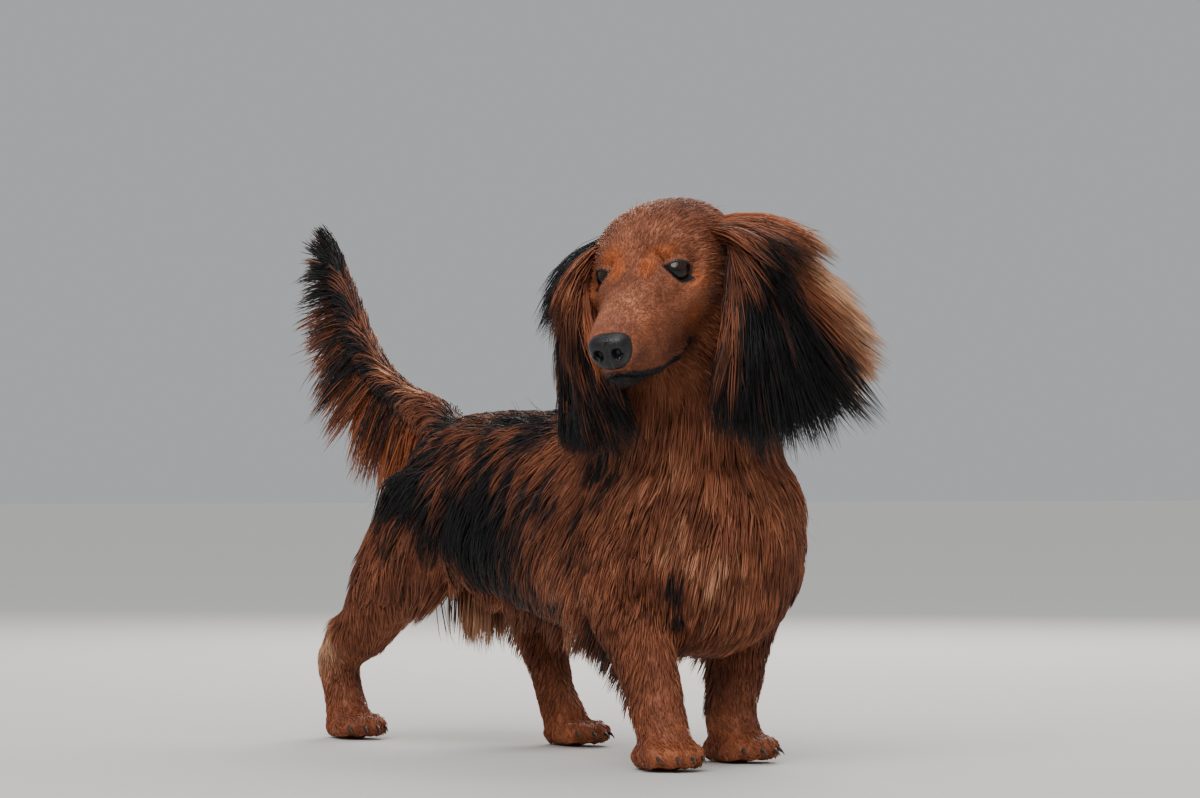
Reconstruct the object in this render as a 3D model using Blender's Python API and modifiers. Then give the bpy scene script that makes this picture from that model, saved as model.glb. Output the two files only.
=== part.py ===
"""A long-haired dachshund, life size, standing with its head turned to its right and its tail raised.

Metres, +Z up. The dog faces -Y, its left side is +X, and its feet stand on z = 0.
The flesh is modelled whole as soft clay, then parted with thin cuts. The long coat is set on it in locks.
"""
import math
import random

import bmesh
import bpy
import numpy as np
from mathutils import Matrix, Vector
from mathutils.bvhtree import BVHTree

# Driving dimensions, to the surface of the coat
BACK_HEIGHT = 0.243
BODY_LENGTH = 0.430
CHEST_WIDTH = 0.152
CHEST_FLOOR = 0.074
HEAD_LENGTH = 0.194
PAW_WIDTH = 0.044
EYE_RADIUS = 0.0108
JOINT_GAP = 0.0003
CLAY_GRAIN = 0.0019

# The head: the point between the eyes, and how it is turned, nodded and tilted
BROW_POINT = Vector((-0.085, -0.0655, 0.3235))
HEAD_TURN = math.radians(-49.5)
HEAD_NOD = math.radians(19)
HEAD_TILT = math.radians(-6)
HEAD_FRAME = (
    Matrix.Translation(BROW_POINT)
    @ Matrix.Rotation(HEAD_TURN, 4, "Z")
    @ Matrix.Rotation(HEAD_NOD, 4, "X")
    @ Matrix.Rotation(HEAD_TILT, 4, "Y")
)

# Where each foot stands: side, distance behind the point midway between the forefeet
FORE_TRACK = 0.046
HIND_TRACK = 0.048
FORE_FEET = {"left": Vector((FORE_TRACK - 0.005, 0.020, 0)), "right": Vector((-FORE_TRACK, -0.030, 0))}
HIND_FEET = {"left": Vector((HIND_TRACK - 0.003, 0.242, 0)), "right": Vector((-HIND_TRACK, 0.402, 0))}
STIFLES = {"left": 0.306, "right": 0.300}
SIDE_SIGN = {"left": 1, "right": -1}

COAT_COLOURS = {
    "red": (0.23, 0.075, 0.030, 1),
    "dark": (0.045, 0.022, 0.018, 1),
    "black": (0.012, 0.011, 0.012, 1),
    "eye": (0.030, 0.012, 0.006, 1),
}


def clear_scene():
    for old in list(bpy.data.objects):
        bpy.data.objects.remove(old)


def material(name, colour, roughness):
    made = bpy.data.materials.new(name)
    made.use_nodes = True
    shader = made.node_tree.nodes["Principled BSDF"]
    shader.inputs["Base Color"].default_value = colour
    shader.inputs["Roughness"].default_value = roughness
    shader.inputs["Metallic"].default_value = 0.0
    return made


def head_point(side, ahead, up):
    """A point of the head, from the dog's left, ahead and up distances off the brow point."""
    return HEAD_FRAME @ Vector((side, -ahead, up))


def through(rows, steps):
    """Rows of numbers read from a smooth curve that passes through the given rows."""
    rows = np.array(rows, float)
    padded = np.vstack([2 * rows[0] - rows[1], rows, 2 * rows[-1] - rows[-2]])
    found = []
    for i in range(len(rows) - 1):
        p0, p1, p2, p3 = padded[i:i + 4]
        for k in range(steps):
            t = k / steps
            found.append(
                p1 + 0.5 * t * (p2 - p0 + t * (2 * p0 - 5 * p1 + 4 * p2 - p3 + t * (3 * p1 - p0 - 3 * p2 + p3)))
            )
    found.append(rows[-1])
    return np.array(found)


def add_loft(clay, rings):
    """Adds a closed loft through rings of as many points each."""
    loops = [[clay.verts.new(p) for p in ring] for ring in rings]
    count = len(loops[0])
    for near, far in zip(loops, loops[1:]):
        for i in range(count):
            j = (i + 1) % count
            clay.faces.new((near[i], near[j], far[j], far[i]))
    clay.faces.new(reversed(loops[0]))
    clay.faces.new(loops[-1])


def squircle(angle, power):
    """A point of the unit superellipse at this angle."""
    c, s = math.cos(angle), math.sin(angle)
    return (
        math.copysign(abs(c) ** (2 / power), c),
        math.copysign(abs(s) ** (2 / power), s),
    )


def add_sections(clay, rows, place, power=2.2, steps=4, count=28):
    """Adds a loft of upright sections. A row is distance along, top, widest level, bottom, half width."""
    rings = []
    for along, top, level, bottom, half in through(rows, steps):
        ring = []
        for i in range(count):
            across, rise = squircle(2 * math.pi * i / count, power)
            height = level + rise * ((top - level) if rise > 0 else (level - bottom))
            ring.append(place(across * half, along, height))
        rings.append(ring)
    add_loft(clay, rings)


def add_limb(clay, rows, across=(1, 0, 0), steps=5, count=20):
    """Adds a limb. A row is its centre, then half its thickness across and fore-and-aft."""
    path = through(rows, steps)
    headings = np.gradient(path[:, :3], axis=0)
    rings = []
    for row, heading in zip(path, headings):
        along = Vector(heading).normalized()
        side = Vector(across)
        side = (side - along * side.dot(along)).normalized()
        deep = along.cross(side)
        ring = []
        for i in range(count):
            angle = 2 * math.pi * i / count
            ring.append(Vector(row[:3]) + side * (row[3] * math.cos(angle)) + deep * (row[4] * math.sin(angle)))
        rings.append(ring)
    add_loft(clay, rings)


def add_ball(clay, centre, radii, turn=None):
    """Adds an ellipsoid, turned by a rotation matrix if one is given."""
    place = Matrix.Translation(centre) @ (turn or Matrix.Identity(4)) @ Matrix.Diagonal((*radii, 1))
    bmesh.ops.create_uvsphere(clay, u_segments=18, v_segments=12, radius=1, matrix=place)


def add_torso(clay):
    """Chest, ribs, loin and rump, from the breastbone back."""
    back, length, wide, floor = BACK_HEIGHT, BODY_LENGTH, CHEST_WIDTH / 2, CHEST_FLOOR
    front = -0.072
    rows = [
        (0.000, 0.70, 0.60, 2.30, 0.20),
        (0.018, 0.78, 0.60, 1.72, 0.42),
        (0.055, 0.87, 0.59, 1.24, 0.66),
        (0.120, 0.95, 0.58, 1.02, 0.88),
        (0.200, 0.99, 0.58, 0.98, 0.98),
        (0.300, 1.00, 0.58, 1.00, 0.98),
        (0.430, 0.99, 0.60, 1.10, 0.93),
        (0.560, 0.985, 0.64, 1.24, 0.86),
        (0.690, 0.99, 0.66, 1.38, 0.81),
        (0.810, 0.985, 0.68, 1.48, 0.80),
        (0.890, 0.965, 0.70, 1.60, 0.74),
        (0.945, 0.920, 0.71, 1.80, 0.60),
        (0.980, 0.850, 0.71, 2.10, 0.42),
        (0.998, 0.770, 0.71, 2.50, 0.20),
    ]
    sized = [
        (front + at * length, top * back, level * back, low * floor, half * wide)
        for at, top, level, low, half in rows
    ]
    add_sections(clay, sized, lambda x, y, z: Vector((x, y, z)))


def add_neck(clay):
    """The neck, from inside the shoulders up to the back of the skull."""
    nape = head_point(0, -0.055, -0.012)
    rows = [
        (0.000, 0.030, 0.165, 0.072, 0.078),
        (-0.004, 0.012, 0.205, 0.067, 0.070),
        (-0.018, -0.006, 0.240, 0.057, 0.059),
        (-0.033, -0.022, 0.275, 0.047, 0.051),
        (nape.x, nape.y, nape.z, 0.042, 0.046),
    ]
    add_limb(clay, rows)


def add_skull(clay):
    """Skull, upper muzzle and lower jaw. Rows run from the occiput to the lips, in shares of the head."""
    scale = HEAD_LENGTH / 0.194
    skull = [
        (-0.106, 0.010, 0.000, -0.022, 0.018),
        (-0.096, 0.021, 0.000, -0.038, 0.033),
        (-0.078, 0.0290, -0.003, -0.050, 0.0430),
        (-0.058, 0.0325, -0.005, -0.056, 0.0465),
        (-0.038, 0.0315, -0.007, -0.056, 0.0452),
        (-0.018, 0.0255, -0.011, -0.055, 0.0412),
        (0.000, 0.0155, -0.017, -0.053, 0.0352),
        (0.015, 0.0070, -0.022, -0.0510, 0.0292),
        (0.030, 0.0010, -0.026, -0.0500, 0.0250),
        (0.048, -0.0040, -0.028, -0.0490, 0.0218),
        (0.064, -0.0080, -0.029, -0.0455, 0.0195),
        (0.076, -0.0110, -0.028, -0.0410, 0.0168),
        (0.084, -0.0160, -0.028, -0.0375, 0.0115),
    ]
    jaw = [
        (-0.062, -0.014, -0.034, -0.055, 0.0300),
        (-0.038, -0.020, -0.040, -0.0625, 0.0330),
        (-0.010, -0.026, -0.046, -0.0630, 0.0275),
        (0.018, -0.032, -0.049, -0.0610, 0.0220),
        (0.044, -0.036, -0.049, -0.0580, 0.0175),
        (0.064, -0.036, -0.047, -0.0545, 0.0135),
        (0.074, -0.038, -0.0450, -0.0500, 0.0085),
    ]
    for rows in (skull, jaw):
        add_sections(clay, np.array(rows) * scale, head_point, power=2.15)


def add_foreleg(clay, side):
    """Shoulder, short bowed forearm, wrist and broad paw."""
    sign, foot = SIDE_SIGN[side], FORE_FEET[side]
    step = foot.y
    add_ball(clay, Vector((sign * 0.043, -0.002, 0.158)), (0.029, 0.048, 0.056))
    rows = [
        (sign * 0.050, -0.008, 0.150, 0.026, 0.040),
        (sign * 0.052, 0.014 + 0.2 * step, 0.116, 0.0250, 0.034),
        (0.5 * sign * 0.052 + 0.5 * foot.x, 0.010 + 0.5 * step, 0.086, 0.0220, 0.0270),
        (0.2 * sign * 0.052 + 0.8 * foot.x, 0.004 + 0.8 * step, 0.056, 0.0180, 0.0210),
        (foot.x, foot.y + 0.002, 0.034, 0.0170, 0.0185),
        (foot.x, foot.y - 0.004, 0.014, 0.0180, 0.0200),
    ]
    add_limb(clay, rows)
    add_paw(clay, foot, PAW_WIDTH, sign * math.radians(8))


def add_hindleg(clay, side):
    """Thigh, stifle, hock and paw. The right one is stretched back, the left one is under the loin."""
    sign, foot = SIDE_SIGN[side], HIND_FEET[side]
    stifle = STIFLES[side]
    hock = foot.y + (0.036 if side == "left" else 0.018)
    rows = [
        (sign * 0.034, 0.300, 0.190, 0.035, 0.056),
        (sign * 0.043, 0.5 * (0.298 + stifle), 0.152, 0.033, 0.052),
        (sign * 0.049, 0.7 * stifle + 0.3 * hock, 0.118, 0.0265, 0.036),
        (sign * 0.049, 0.4 * stifle + 0.6 * hock, 0.086, 0.0200, 0.0240),
        (sign * 0.048, hock, 0.060, 0.0155, 0.0175),
        (foot.x, 0.45 * hock + 0.55 * foot.y + 0.004, 0.036, 0.0145, 0.0155),
        (foot.x, foot.y + 0.003, 0.014, 0.0160, 0.0180),
    ]
    add_limb(clay, rows)
    add_paw(clay, foot, PAW_WIDTH * 0.90, sign * math.radians(4))


def toe_places(foot, width, splay):
    """Centre and heading of each of a paw's four toes, outer to inner."""
    turn = Matrix.Rotation(splay, 4, "Z")
    places = []
    for share, ahead in ((-0.36, 0.016), (-0.125, 0.0235), (0.125, 0.0235), (0.36, 0.016)):
        places.append((foot + turn @ Vector((share * width, -ahead, TOE_LEVEL)), turn))
    return places


def add_paw(clay, foot, width, splay):
    """The pad and four arched toes. They reach a little below the floor, for the soles to be cut flat."""
    add_ball(clay, foot + Vector((0, 0.002, 0.008)), (width * 0.42, 0.024, 0.0125))
    for centre, turn in toe_places(foot, width, splay):
        add_ball(clay, centre, (width * 0.155, 0.0150, 0.0110), turn)


TOE_LEVEL = 0.0085
TAIL_LINE = [
    (0.000, 0.330, 0.215, 0.024, 0.024),
    (0.000, 0.362, 0.235, 0.017, 0.018),
    (0.000, 0.400, 0.248, 0.0135, 0.0135),
    (0.000, 0.438, 0.264, 0.0130, 0.0130),
    (0.000, 0.472, 0.290, 0.0128, 0.0128),
    (0.000, 0.498, 0.322, 0.0120, 0.0120),
    (0.000, 0.517, 0.352, 0.0098, 0.0098),
    (0.000, 0.528, 0.374, 0.0060, 0.0060),
]


# The dense root of the tail's feather: a core that its locks grow through
TAIL_CORE = [
    (0.000, 0.366, 0.217, 0.010, 0.010),
    (0.000, 0.404, 0.230, 0.009, 0.019),
    (0.000, 0.446, 0.247, 0.008, 0.026),
    (0.000, 0.484, 0.276, 0.007, 0.029),
    (0.000, 0.512, 0.310, 0.007, 0.026),
    (0.000, 0.530, 0.342, 0.006, 0.019),
    (0.000, 0.536, 0.366, 0.005, 0.009),
    (0.000, 0.536, 0.376, 0.003, 0.004),
]


def mesh_object(name, clay, collection):
    mesh = bpy.data.meshes.new(name)
    clay.to_mesh(mesh)
    clay.free()
    made = bpy.data.objects.new(name, mesh)
    collection.objects.link(made)
    return made


def evaluated_copy(made):
    """The object's mesh with its modifiers worked in, in place of its own."""
    bpy.context.view_layer.update()
    graph = bpy.context.evaluated_depsgraph_get()
    mesh = bpy.data.meshes.new_from_object(made.evaluated_get(graph))
    made.modifiers.clear()
    made.data = mesh
    return made


def whole_body(collection):
    """The dog's flesh and short coat as one closed skin."""
    clay = bmesh.new()
    add_torso(clay)
    add_neck(clay)
    add_skull(clay)
    for side in ("left", "right"):
        add_foreleg(clay, side)
        add_hindleg(clay, side)
    add_limb(clay, TAIL_LINE)
    add_limb(clay, TAIL_CORE)
    body = mesh_object("body", clay, collection)
    remesh = body.modifiers.new("one skin", "REMESH")
    remesh.mode = "VOXEL"
    remesh.voxel_size = CLAY_GRAIN
    evaluated_copy(body)
    return body


def points_of(mesh):
    found = np.empty(len(mesh.vertices) * 3, np.float32)
    mesh.vertices.foreach_get("co", found)
    return found.reshape(-1, 3).astype(float)


def store_points(mesh, points):
    mesh.vertices.foreach_set("co", points.astype(np.float32).ravel())
    mesh.update()


def to_head(points):
    """Points in the head's frame, as side, ahead and up."""
    back = np.array(HEAD_FRAME.inverted())
    local = points @ back[:3, :3].T + back[:3, 3]
    return local * (1, -1, 1)


def from_head(local):
    frame = np.array(HEAD_FRAME)
    return (local * (1, -1, 1)) @ frame[:3, :3].T + frame[:3, 3]


def blend_joins(body):
    """Softens the creases where the lofts meet, less on the head and the feet."""
    local = to_head(points_of(body.data))
    points = points_of(body.data)
    head = 1 / (1 + np.exp(-(local[:, 1] + 0.080) / 0.006))
    head[points[:, 1] > 0.10] = 0
    paw = np.exp(-np.clip(points[:, 2] - 0.012, 0, 1) / 0.012)
    soft = body.vertex_groups.new(name="soft")
    fine = body.vertex_groups.new(name="fine")
    for i, weight in enumerate(np.clip(1 - head - paw, 0.0, 1)):
        soft.add([i], float(weight), "REPLACE")
        fine.add([i], 1.0, "REPLACE")
    for name, turns in (("soft", 45), ("fine", 4)):
        smooth = body.modifiers.new(name, "SMOOTH")
        smooth.factor = 0.6
        smooth.iterations = turns
        smooth.vertex_group = name
    evaluated_copy(body)
    body.vertex_groups.clear()


def swell(points, centre, radius, push):
    """Moves the points near centre by push, fading with distance. Both sides of the head alike."""
    for sign in (1, -1):
        mirror = np.array((sign, 1, 1))
        gap = np.linalg.norm((points - np.array(centre) * mirror) / radius, axis=1)
        points += np.exp(-gap ** 2)[:, None] * (np.array(push) * mirror)


MOUTH_LINE = [
    (0.000, 0.083, -0.0388, 0.0009),
    (0.011, 0.079, -0.0415, 0.0011),
    (0.019, 0.062, -0.0465, 0.0012),
    (0.0225, 0.042, -0.0495, 0.0013),
    (0.0265, 0.022, -0.0490, 0.0013),
    (0.0305, 0.007, -0.0470, 0.0009),
]
EYE_CENTRES = {side: Vector((sign * 0.0221, -0.0101, 0.0)) for side, sign in SIDE_SIGN.items()}
LID_HALF_LENGTH = 0.0096
LID_HALF_HEIGHT = 0.0058
LID_THICKNESS = 0.0013
SOCKET_RADIUS = EYE_RADIUS + 1.5 * JOINT_GAP


def eye_axes(side):
    """Which way the eye looks, the way to its outer corner, and the way up across it, in the head."""
    sign = SIDE_SIGN[side]
    gaze = Vector((sign * 0.42, 0.90, 0.06)).normalized()
    outward = Vector((sign * 0.90, -0.42, 0.10))
    outward = (outward - gaze * outward.dot(gaze)).normalized()
    over = outward.cross(gaze) * sign
    return gaze, outward, over


def lid_reach(angle):
    """How far the rim of the eye's opening is from its middle, at this angle about it."""
    return 1 / math.hypot(math.cos(angle) / LID_HALF_LENGTH, math.sin(angle) / LID_HALF_HEIGHT)


def lid_point(side, beyond, angle, radius):
    """A point over the eyeball, this far beyond the rim of the opening."""
    gaze, outward, over = eye_axes(side)
    swing = (lid_reach(angle) + beyond) / EYE_RADIUS
    tilt = outward * math.cos(angle) + over * math.sin(angle)
    return EYE_CENTRES[side] + (gaze * math.cos(swing) + tilt * math.sin(swing)) * radius


def beyond_lid(local, side):
    """How far each point is beyond the rim of the eye's opening, and its way from the middle of the ball."""
    gaze, outward, over = (np.array(axis) for axis in eye_axes(side))
    offset = local - np.array(EYE_CENTRES[side])
    reach = np.linalg.norm(offset, axis=1)
    swing = np.arccos(np.clip(offset @ gaze / reach, -1, 1))
    angle = np.arctan2(offset @ over, offset @ outward)
    rim = 1 / np.hypot(np.cos(angle) / LID_HALF_LENGTH, np.sin(angle) / LID_HALF_HEIGHT)
    return swing * EYE_RADIUS - rim, reach, offset


def model_face(body):
    """Brow, stop, cheek and lips, the line of the mouth, and the lids round each eye."""
    points = points_of(body.data)
    local = to_head(points)
    near = (local[:, 1] > -0.085) & (np.linalg.norm(local, axis=1) < 0.15) & (points[:, 1] < 0.06)
    face = local[near]
    swell(face, (0.021, 0.008, 0.016), 0.010, (0.0008, 0.0022, 0.0022))
    swell(face, (0.038, -0.030, -0.030), 0.018, (0.0030, 0.0, 0.0))
    swell(face, (0.030, 0.020, -0.016), 0.011, (-0.0026, 0.0, 0.0))
    swell(face, (0.017, 0.058, -0.034), 0.010, (0.0018, 0.0, -0.0004))
    swell(face, (0.0, 0.020, 0.010), 0.009, (0.0, 0.0, -0.0012))
    swell(face, (0.0, -0.030, 0.036), 0.010, (0.0, 0.0, -0.0009))
    for side in SIDE_SIGN:
        beyond, reach, offset = beyond_lid(face, side)
        radial = offset / reach[:, None]
        blend = np.clip((0.0085 - beyond) / 0.0040, 0, 1)
        blend = blend * blend * (3 - 2 * blend)
        level = np.where(beyond < 0, EYE_RADIUS * 0.9, EYE_RADIUS + 0.5 * LID_THICKNESS)
        near_ball = reach < 0.017
        moved = reach + (level - reach) * blend * near_ball
        face[:] = np.array(EYE_CENTRES[side]) + radial * moved[:, None]
    local[near] = face
    store_points(body.data, from_head(local))


def hide_cutter(cutter):
    cutter.hide_render = True
    cutter.display_type = "WIRE"
    return cutter


def half_space(name, point, normal, cutters):
    """A block whose face lies through the point, and which fills the side that the normal points to."""
    block = bmesh.new()
    side = 1.6
    normal = Vector(normal).normalized()
    turn = normal.to_track_quat("Z", "Y").to_matrix().to_4x4()
    centre = Vector(point) + normal * side / 2
    bmesh.ops.create_cube(block, size=side, matrix=Matrix.Translation(centre) @ turn)
    return hide_cutter(mesh_object(name, block, cutters))


def leg_wedge(name, sign, low, high, reach, cutters, grow=0.0):
    """A wedge that parts a leg from the trunk by a slanted plane through low and high, (side, up) points."""
    slope = (high[1] - low[1]) / (high[0] - low[0])
    lift = grow * math.hypot(1, slope)
    inner, outer = 0.002 - grow, 0.30
    corners = [
        (inner, -0.10),
        (outer, -0.10),
        (outer, low[1] + slope * (outer - low[0]) + lift),
        (inner, low[1] + slope * (inner - low[0]) + lift),
    ]
    block = bmesh.new()
    face = block.faces.new([block.verts.new((sign * x, reach[0] - grow, z)) for x, z in corners])
    made = bmesh.ops.extrude_face_region(block, geom=[face])
    swept = [v for v in made["geom"] if isinstance(v, bmesh.types.BMVert)]
    bmesh.ops.translate(block, verts=swept, vec=(0, reach[1] - reach[0] + 2 * grow, 0))
    bmesh.ops.recalc_face_normals(block, faces=block.faces)
    return hide_cutter(mesh_object(name, block, cutters))


def copy_of(made, name, collection):
    twin = bpy.data.objects.new(name, made.data.copy())
    collection.objects.link(twin)
    return twin


def carve(made, cutter, operation, solver="EXACT"):
    """Cuts the object by another, or joins or keeps what they share, and works the change in."""
    boolean = made.modifiers.new("carve", "BOOLEAN")
    boolean.operation = operation
    boolean.solver = solver
    boolean.object = cutter
    evaluated_copy(made)
    keep_largest(made)


# Points closer than this are welded after a cut, or less or none where that would pinch the skin
WELDS = (2e-6, 5e-7, 0)


def largest_surface(mesh, weld):
    """The largest closed surface of a mesh, in triangles, without slivers."""
    shape = bmesh.new()
    shape.from_mesh(mesh)
    bmesh.ops.triangulate(shape, faces=shape.faces)
    if weld:
        bmesh.ops.remove_doubles(shape, verts=shape.verts, dist=weld)
        bmesh.ops.dissolve_degenerate(shape, edges=shape.edges, dist=weld)
    unseen = set(shape.verts)
    pieces = []
    while unseen:
        stack = [unseen.pop()]
        piece = set(stack)
        while stack:
            for edge in stack.pop().link_edges:
                for vert in edge.verts:
                    if vert in unseen:
                        unseen.discard(vert)
                        piece.add(vert)
                        stack.append(vert)
        pieces.append(piece)
    pieces.sort(key=len, reverse=True)
    for piece in pieces[1:]:
        bmesh.ops.delete(shape, geom=list(piece), context="VERTS")
    return shape


def keep_largest(made):
    """Keeps only the object's largest closed surface."""
    for weld in WELDS:
        shape = largest_surface(made.data, weld)
        if all(edge.is_manifold for edge in shape.edges):
            break
    shape.to_mesh(made.data)
    shape.free()


def thin_out(made, triangles):
    """Brings the object down to about this many triangles."""
    made.data.calc_loop_triangles()
    decimate = made.modifiers.new("thin out", "DECIMATE")
    decimate.ratio = triangles / len(made.data.loop_triangles)
    evaluated_copy(made)


def grown(made, name, collection, by=0.9 * JOINT_GAP):
    """A copy whose skin stands out by the joint gap, to cut a neighbour clear of it."""
    twin = copy_of(made, name, collection)
    points = points_of(twin.data)
    normals = np.empty(len(points) * 3, np.float32)
    twin.data.vertex_normals.foreach_get("vector", normals)
    store_points(twin.data, points + normals.reshape(-1, 3) * by)
    return hide_cutter(twin)


def remove(*gone):
    for made in gone:
        bpy.data.objects.remove(made)


NECK_CUT = (head_point(0, -0.085, 0.030), head_point(0, -0.030, -0.065))
NECK_CUT_NORMAL = (HEAD_FRAME.to_3x3() @ Vector((0, -0.095, 0.055))).normalized()
CHEST_CUT = (Vector((0, 0.045, 0.245)), Vector((0, -0.578, 0.816)))
TAIL_CUT = (Vector((0, 0.352, 0.235)), Vector((0, 0.8, 0.6)))
HEAD_TRIANGLES = 1800
BODY_TRIANGLES = 3100


def part_clay(body, parts, cutters):
    """Cuts the clay into its named pieces, each a joint gap from the next."""
    pieces = {}
    ahead = NECK_CUT_NORMAL
    rough = half_space("rough", NECK_CUT[0] - ahead * 0.005, ahead, cutters)
    head = copy_of(body, "head", parts)
    carve(head, rough, "INTERSECT")
    remove(rough)
    rough = half_space("rough", NECK_CUT[0] + ahead * 0.005, ahead, cutters)
    carve(body, rough, "DIFFERENCE")
    remove(rough)
    thin_out(head, HEAD_TRIANGLES)
    thin_out(body, BODY_TRIANGLES)
    cut = half_space("cut", NECK_CUT[0], ahead, cutters)
    carve(head, cut, "INTERSECT")
    remove(cut)
    pieces["head"] = head
    cut = half_space("cut", NECK_CUT[0] - ahead * JOINT_GAP, ahead, cutters)
    carve(body, cut, "DIFFERENCE")
    remove(cut)
    for name, (point, normal) in (("neck", CHEST_CUT), ("tail", TAIL_CUT)):
        cut = half_space("cut", point, normal, cutters)
        pieces[name] = copy_of(body, name, parts)
        carve(pieces[name], cut, "INTERSECT")
        remove(cut)
        cut = half_space("cut", point - normal * JOINT_GAP, normal, cutters)
        carve(body, cut, "DIFFERENCE")
        remove(cut)
    for name, low, high, reaches in (
        ("foreleg", (0.028, 0.078), (0.085, 0.150), {"left": (-0.10, 0.085), "right": (-0.10, 0.085)}),
        ("hindleg", (0.020, 0.095), (0.070, 0.200), {"left": (0.18, 0.385), "right": (0.21, 0.50)}),
    ):
        for side, sign in SIDE_SIGN.items():
            cut = leg_wedge("cut", sign, low, high, reaches[side], cutters)
            leg = copy_of(body, f"{name}_{side}", parts)
            carve(leg, cut, "INTERSECT")
            floor = half_space("floor", (0, 0, 0), (0, 0, 1), cutters)
            carve(leg, floor, "INTERSECT")
            pieces[leg.name] = leg
            remove(cut, floor)
            cut = leg_wedge("cut", sign, low, high, reaches[side], cutters, JOINT_GAP)
            carve(body, cut, "DIFFERENCE")
            remove(cut)
    body.name = "torso"
    pieces["torso"] = body
    return pieces


def add_mouth(head, cutters):
    """Cuts the line of the closed mouth, from one corner round the lips to the other."""
    rows = through(MOUTH_LINE, 2)
    whole = [(-x, y, z, r) for x, y, z, r in rows[:0:-1]] + [tuple(row) for row in rows]
    path = []
    for x, y, z, r in whole:
        out = Vector((x, max(0, y - 0.058) * 1.6, 0)).normalized()
        start = head_point(x, y, z) + HEAD_FRAME.to_3x3() @ Vector((out.x, -out.y, 0)) * 0.02
        _, place, _, _ = head.ray_cast(start, (head_point(x, y, z) - start).normalized())
        path.append((*place, r, 1.3 * r))
    groove = bmesh.new()
    add_limb(groove, path, across=HEAD_FRAME.to_3x3() @ Vector((0, 0, 1)), steps=1, count=5)
    bmesh.ops.recalc_face_normals(groove, faces=groove.faces)
    cutter = hide_cutter(mesh_object("mouth line", groove, cutters))
    carve(head, cutter, "DIFFERENCE")
    remove(cutter)


def lid_loft(side, rows, count=16):
    """Rings about the eye. A row is a distance beyond the rim of the opening and a height off the ball."""
    loft = bmesh.new()
    rings = []
    for beyond, lift in rows:
        ring = []
        for i in range(count):
            angle = 2 * math.pi * i / count
            over = 0.0007 * max(0, math.sin(angle)) if lift > 0 else 0
            place = lid_point(side, beyond, angle, EYE_RADIUS + lift + over)
            ring.append(head_point(*place))
        rings.append(ring)
    return loft, rings


def add_lids(head, side, cutters):
    """Opens the skin over the eye, then sets the upper and lower lid there: a rounded rim, thicker above."""
    loft, rings = lid_loft(side, ((-0.0001, -0.0060), (0.0003, 0.0100)))
    add_loft(loft, rings)
    bmesh.ops.poke(loft, faces=[face for face in loft.faces if len(face.verts) > 4])
    bmesh.ops.triangulate(loft, faces=loft.faces)
    bmesh.ops.recalc_face_normals(loft, faces=loft.faces)
    opening = hide_cutter(mesh_object("opening", loft, cutters))
    carve(head, opening, "DIFFERENCE")
    remove(opening)
    rows = ((0.0, -0.0020), (0.0, 0.0007), (0.0008, 0.0017), (0.0030, 0.0020), (0.0060, 0.0005), (0.0062, -0.0050))
    loft, rings = lid_loft(side, rows)
    loops = [[loft.verts.new(place) for place in ring] for ring in rings]
    for near, far in zip(loops, loops[1:] + loops[:1]):
        for i in range(len(near)):
            j = (i + 1) % len(near)
            loft.faces.new((near[i], near[j], far[j], far[i]))
    bmesh.ops.triangulate(loft, faces=loft.faces)
    bmesh.ops.recalc_face_normals(loft, faces=loft.faces)
    lids = hide_cutter(mesh_object("lids", loft, cutters))
    carve(head, lids, "UNION")
    remove(lids)


def add_eyes(head, parts, cutters):
    """Round eyeballs, set deep in sockets that open between the lids."""
    eyes = {}
    for side in SIDE_SIGN:
        add_lids(head, side, cutters)
        centre = HEAD_FRAME @ (EYE_CENTRES[side] * Vector((1, -1, 1)))
        for name, radius, where in (("eye_" + side, EYE_RADIUS, parts), ("socket", SOCKET_RADIUS, cutters)):
            ball = bmesh.new()
            turn = Matrix.Translation(centre) @ HEAD_FRAME.to_3x3().to_4x4() @ Matrix.Rotation(math.radians(90), 4, "X")
            bmesh.ops.create_uvsphere(ball, u_segments=16, v_segments=9, radius=radius, matrix=turn)
            made = mesh_object(name, ball, where)
            if where is parts:
                eyes[name] = made
            else:
                carve(head, hide_cutter(made), "DIFFERENCE")
                remove(made)
    return eyes


NOSE_CENTRE = Vector((0, 0.0795, -0.0255))
NOSE_HALF = Vector((0.0140, 0.0100, 0.0098))
NOSTRIL = Vector((0.0062, 0.0100, -0.0010))


def nose_pad(name, where, grow=0.0):
    """The leather of the nose: a rounded pad, wider than high, with two comma-shaped nostrils and a cleft."""
    pad = bmesh.new()
    bmesh.ops.create_cube(pad, size=2)
    bmesh.ops.subdivide_edges(pad, edges=pad.edges, cuts=4, use_grid_fill=True)
    for vert in pad.verts:
        unit = vert.co.normalized()
        power = sum(abs(c) ** 2.6 for c in unit) ** (-1 / 2.6)
        local = Vector([c * power * half for c, half in zip(unit, NOSE_HALF)])
        if not grow and local.y > 0:
            for sign in (1, -1):
                away = Vector((local.x - sign * NOSTRIL.x, 0, local.z - NOSTRIL.z))
                away.x *= 1.0 + 0.25 * (sign * away.x < 0)
                local.y -= 0.0040 * math.exp(-(away.length / 0.0024) ** 2)
            local.y -= 0.0008 * math.exp(-(local.x / 0.0012) ** 2)
        elif grow:
            local += local.normalized() * grow
        local.z *= 1 - 0.18 * max(0, local.y / NOSE_HALF.y) * (local.z < 0)
        vert.co = head_point(local.x + NOSE_CENTRE.x, local.y + NOSE_CENTRE.y, local.z + NOSE_CENTRE.z)
    bmesh.ops.triangulate(pad, faces=pad.faces)
    bmesh.ops.recalc_face_normals(pad, faces=pad.faces)
    return mesh_object(name, pad, where)


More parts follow.
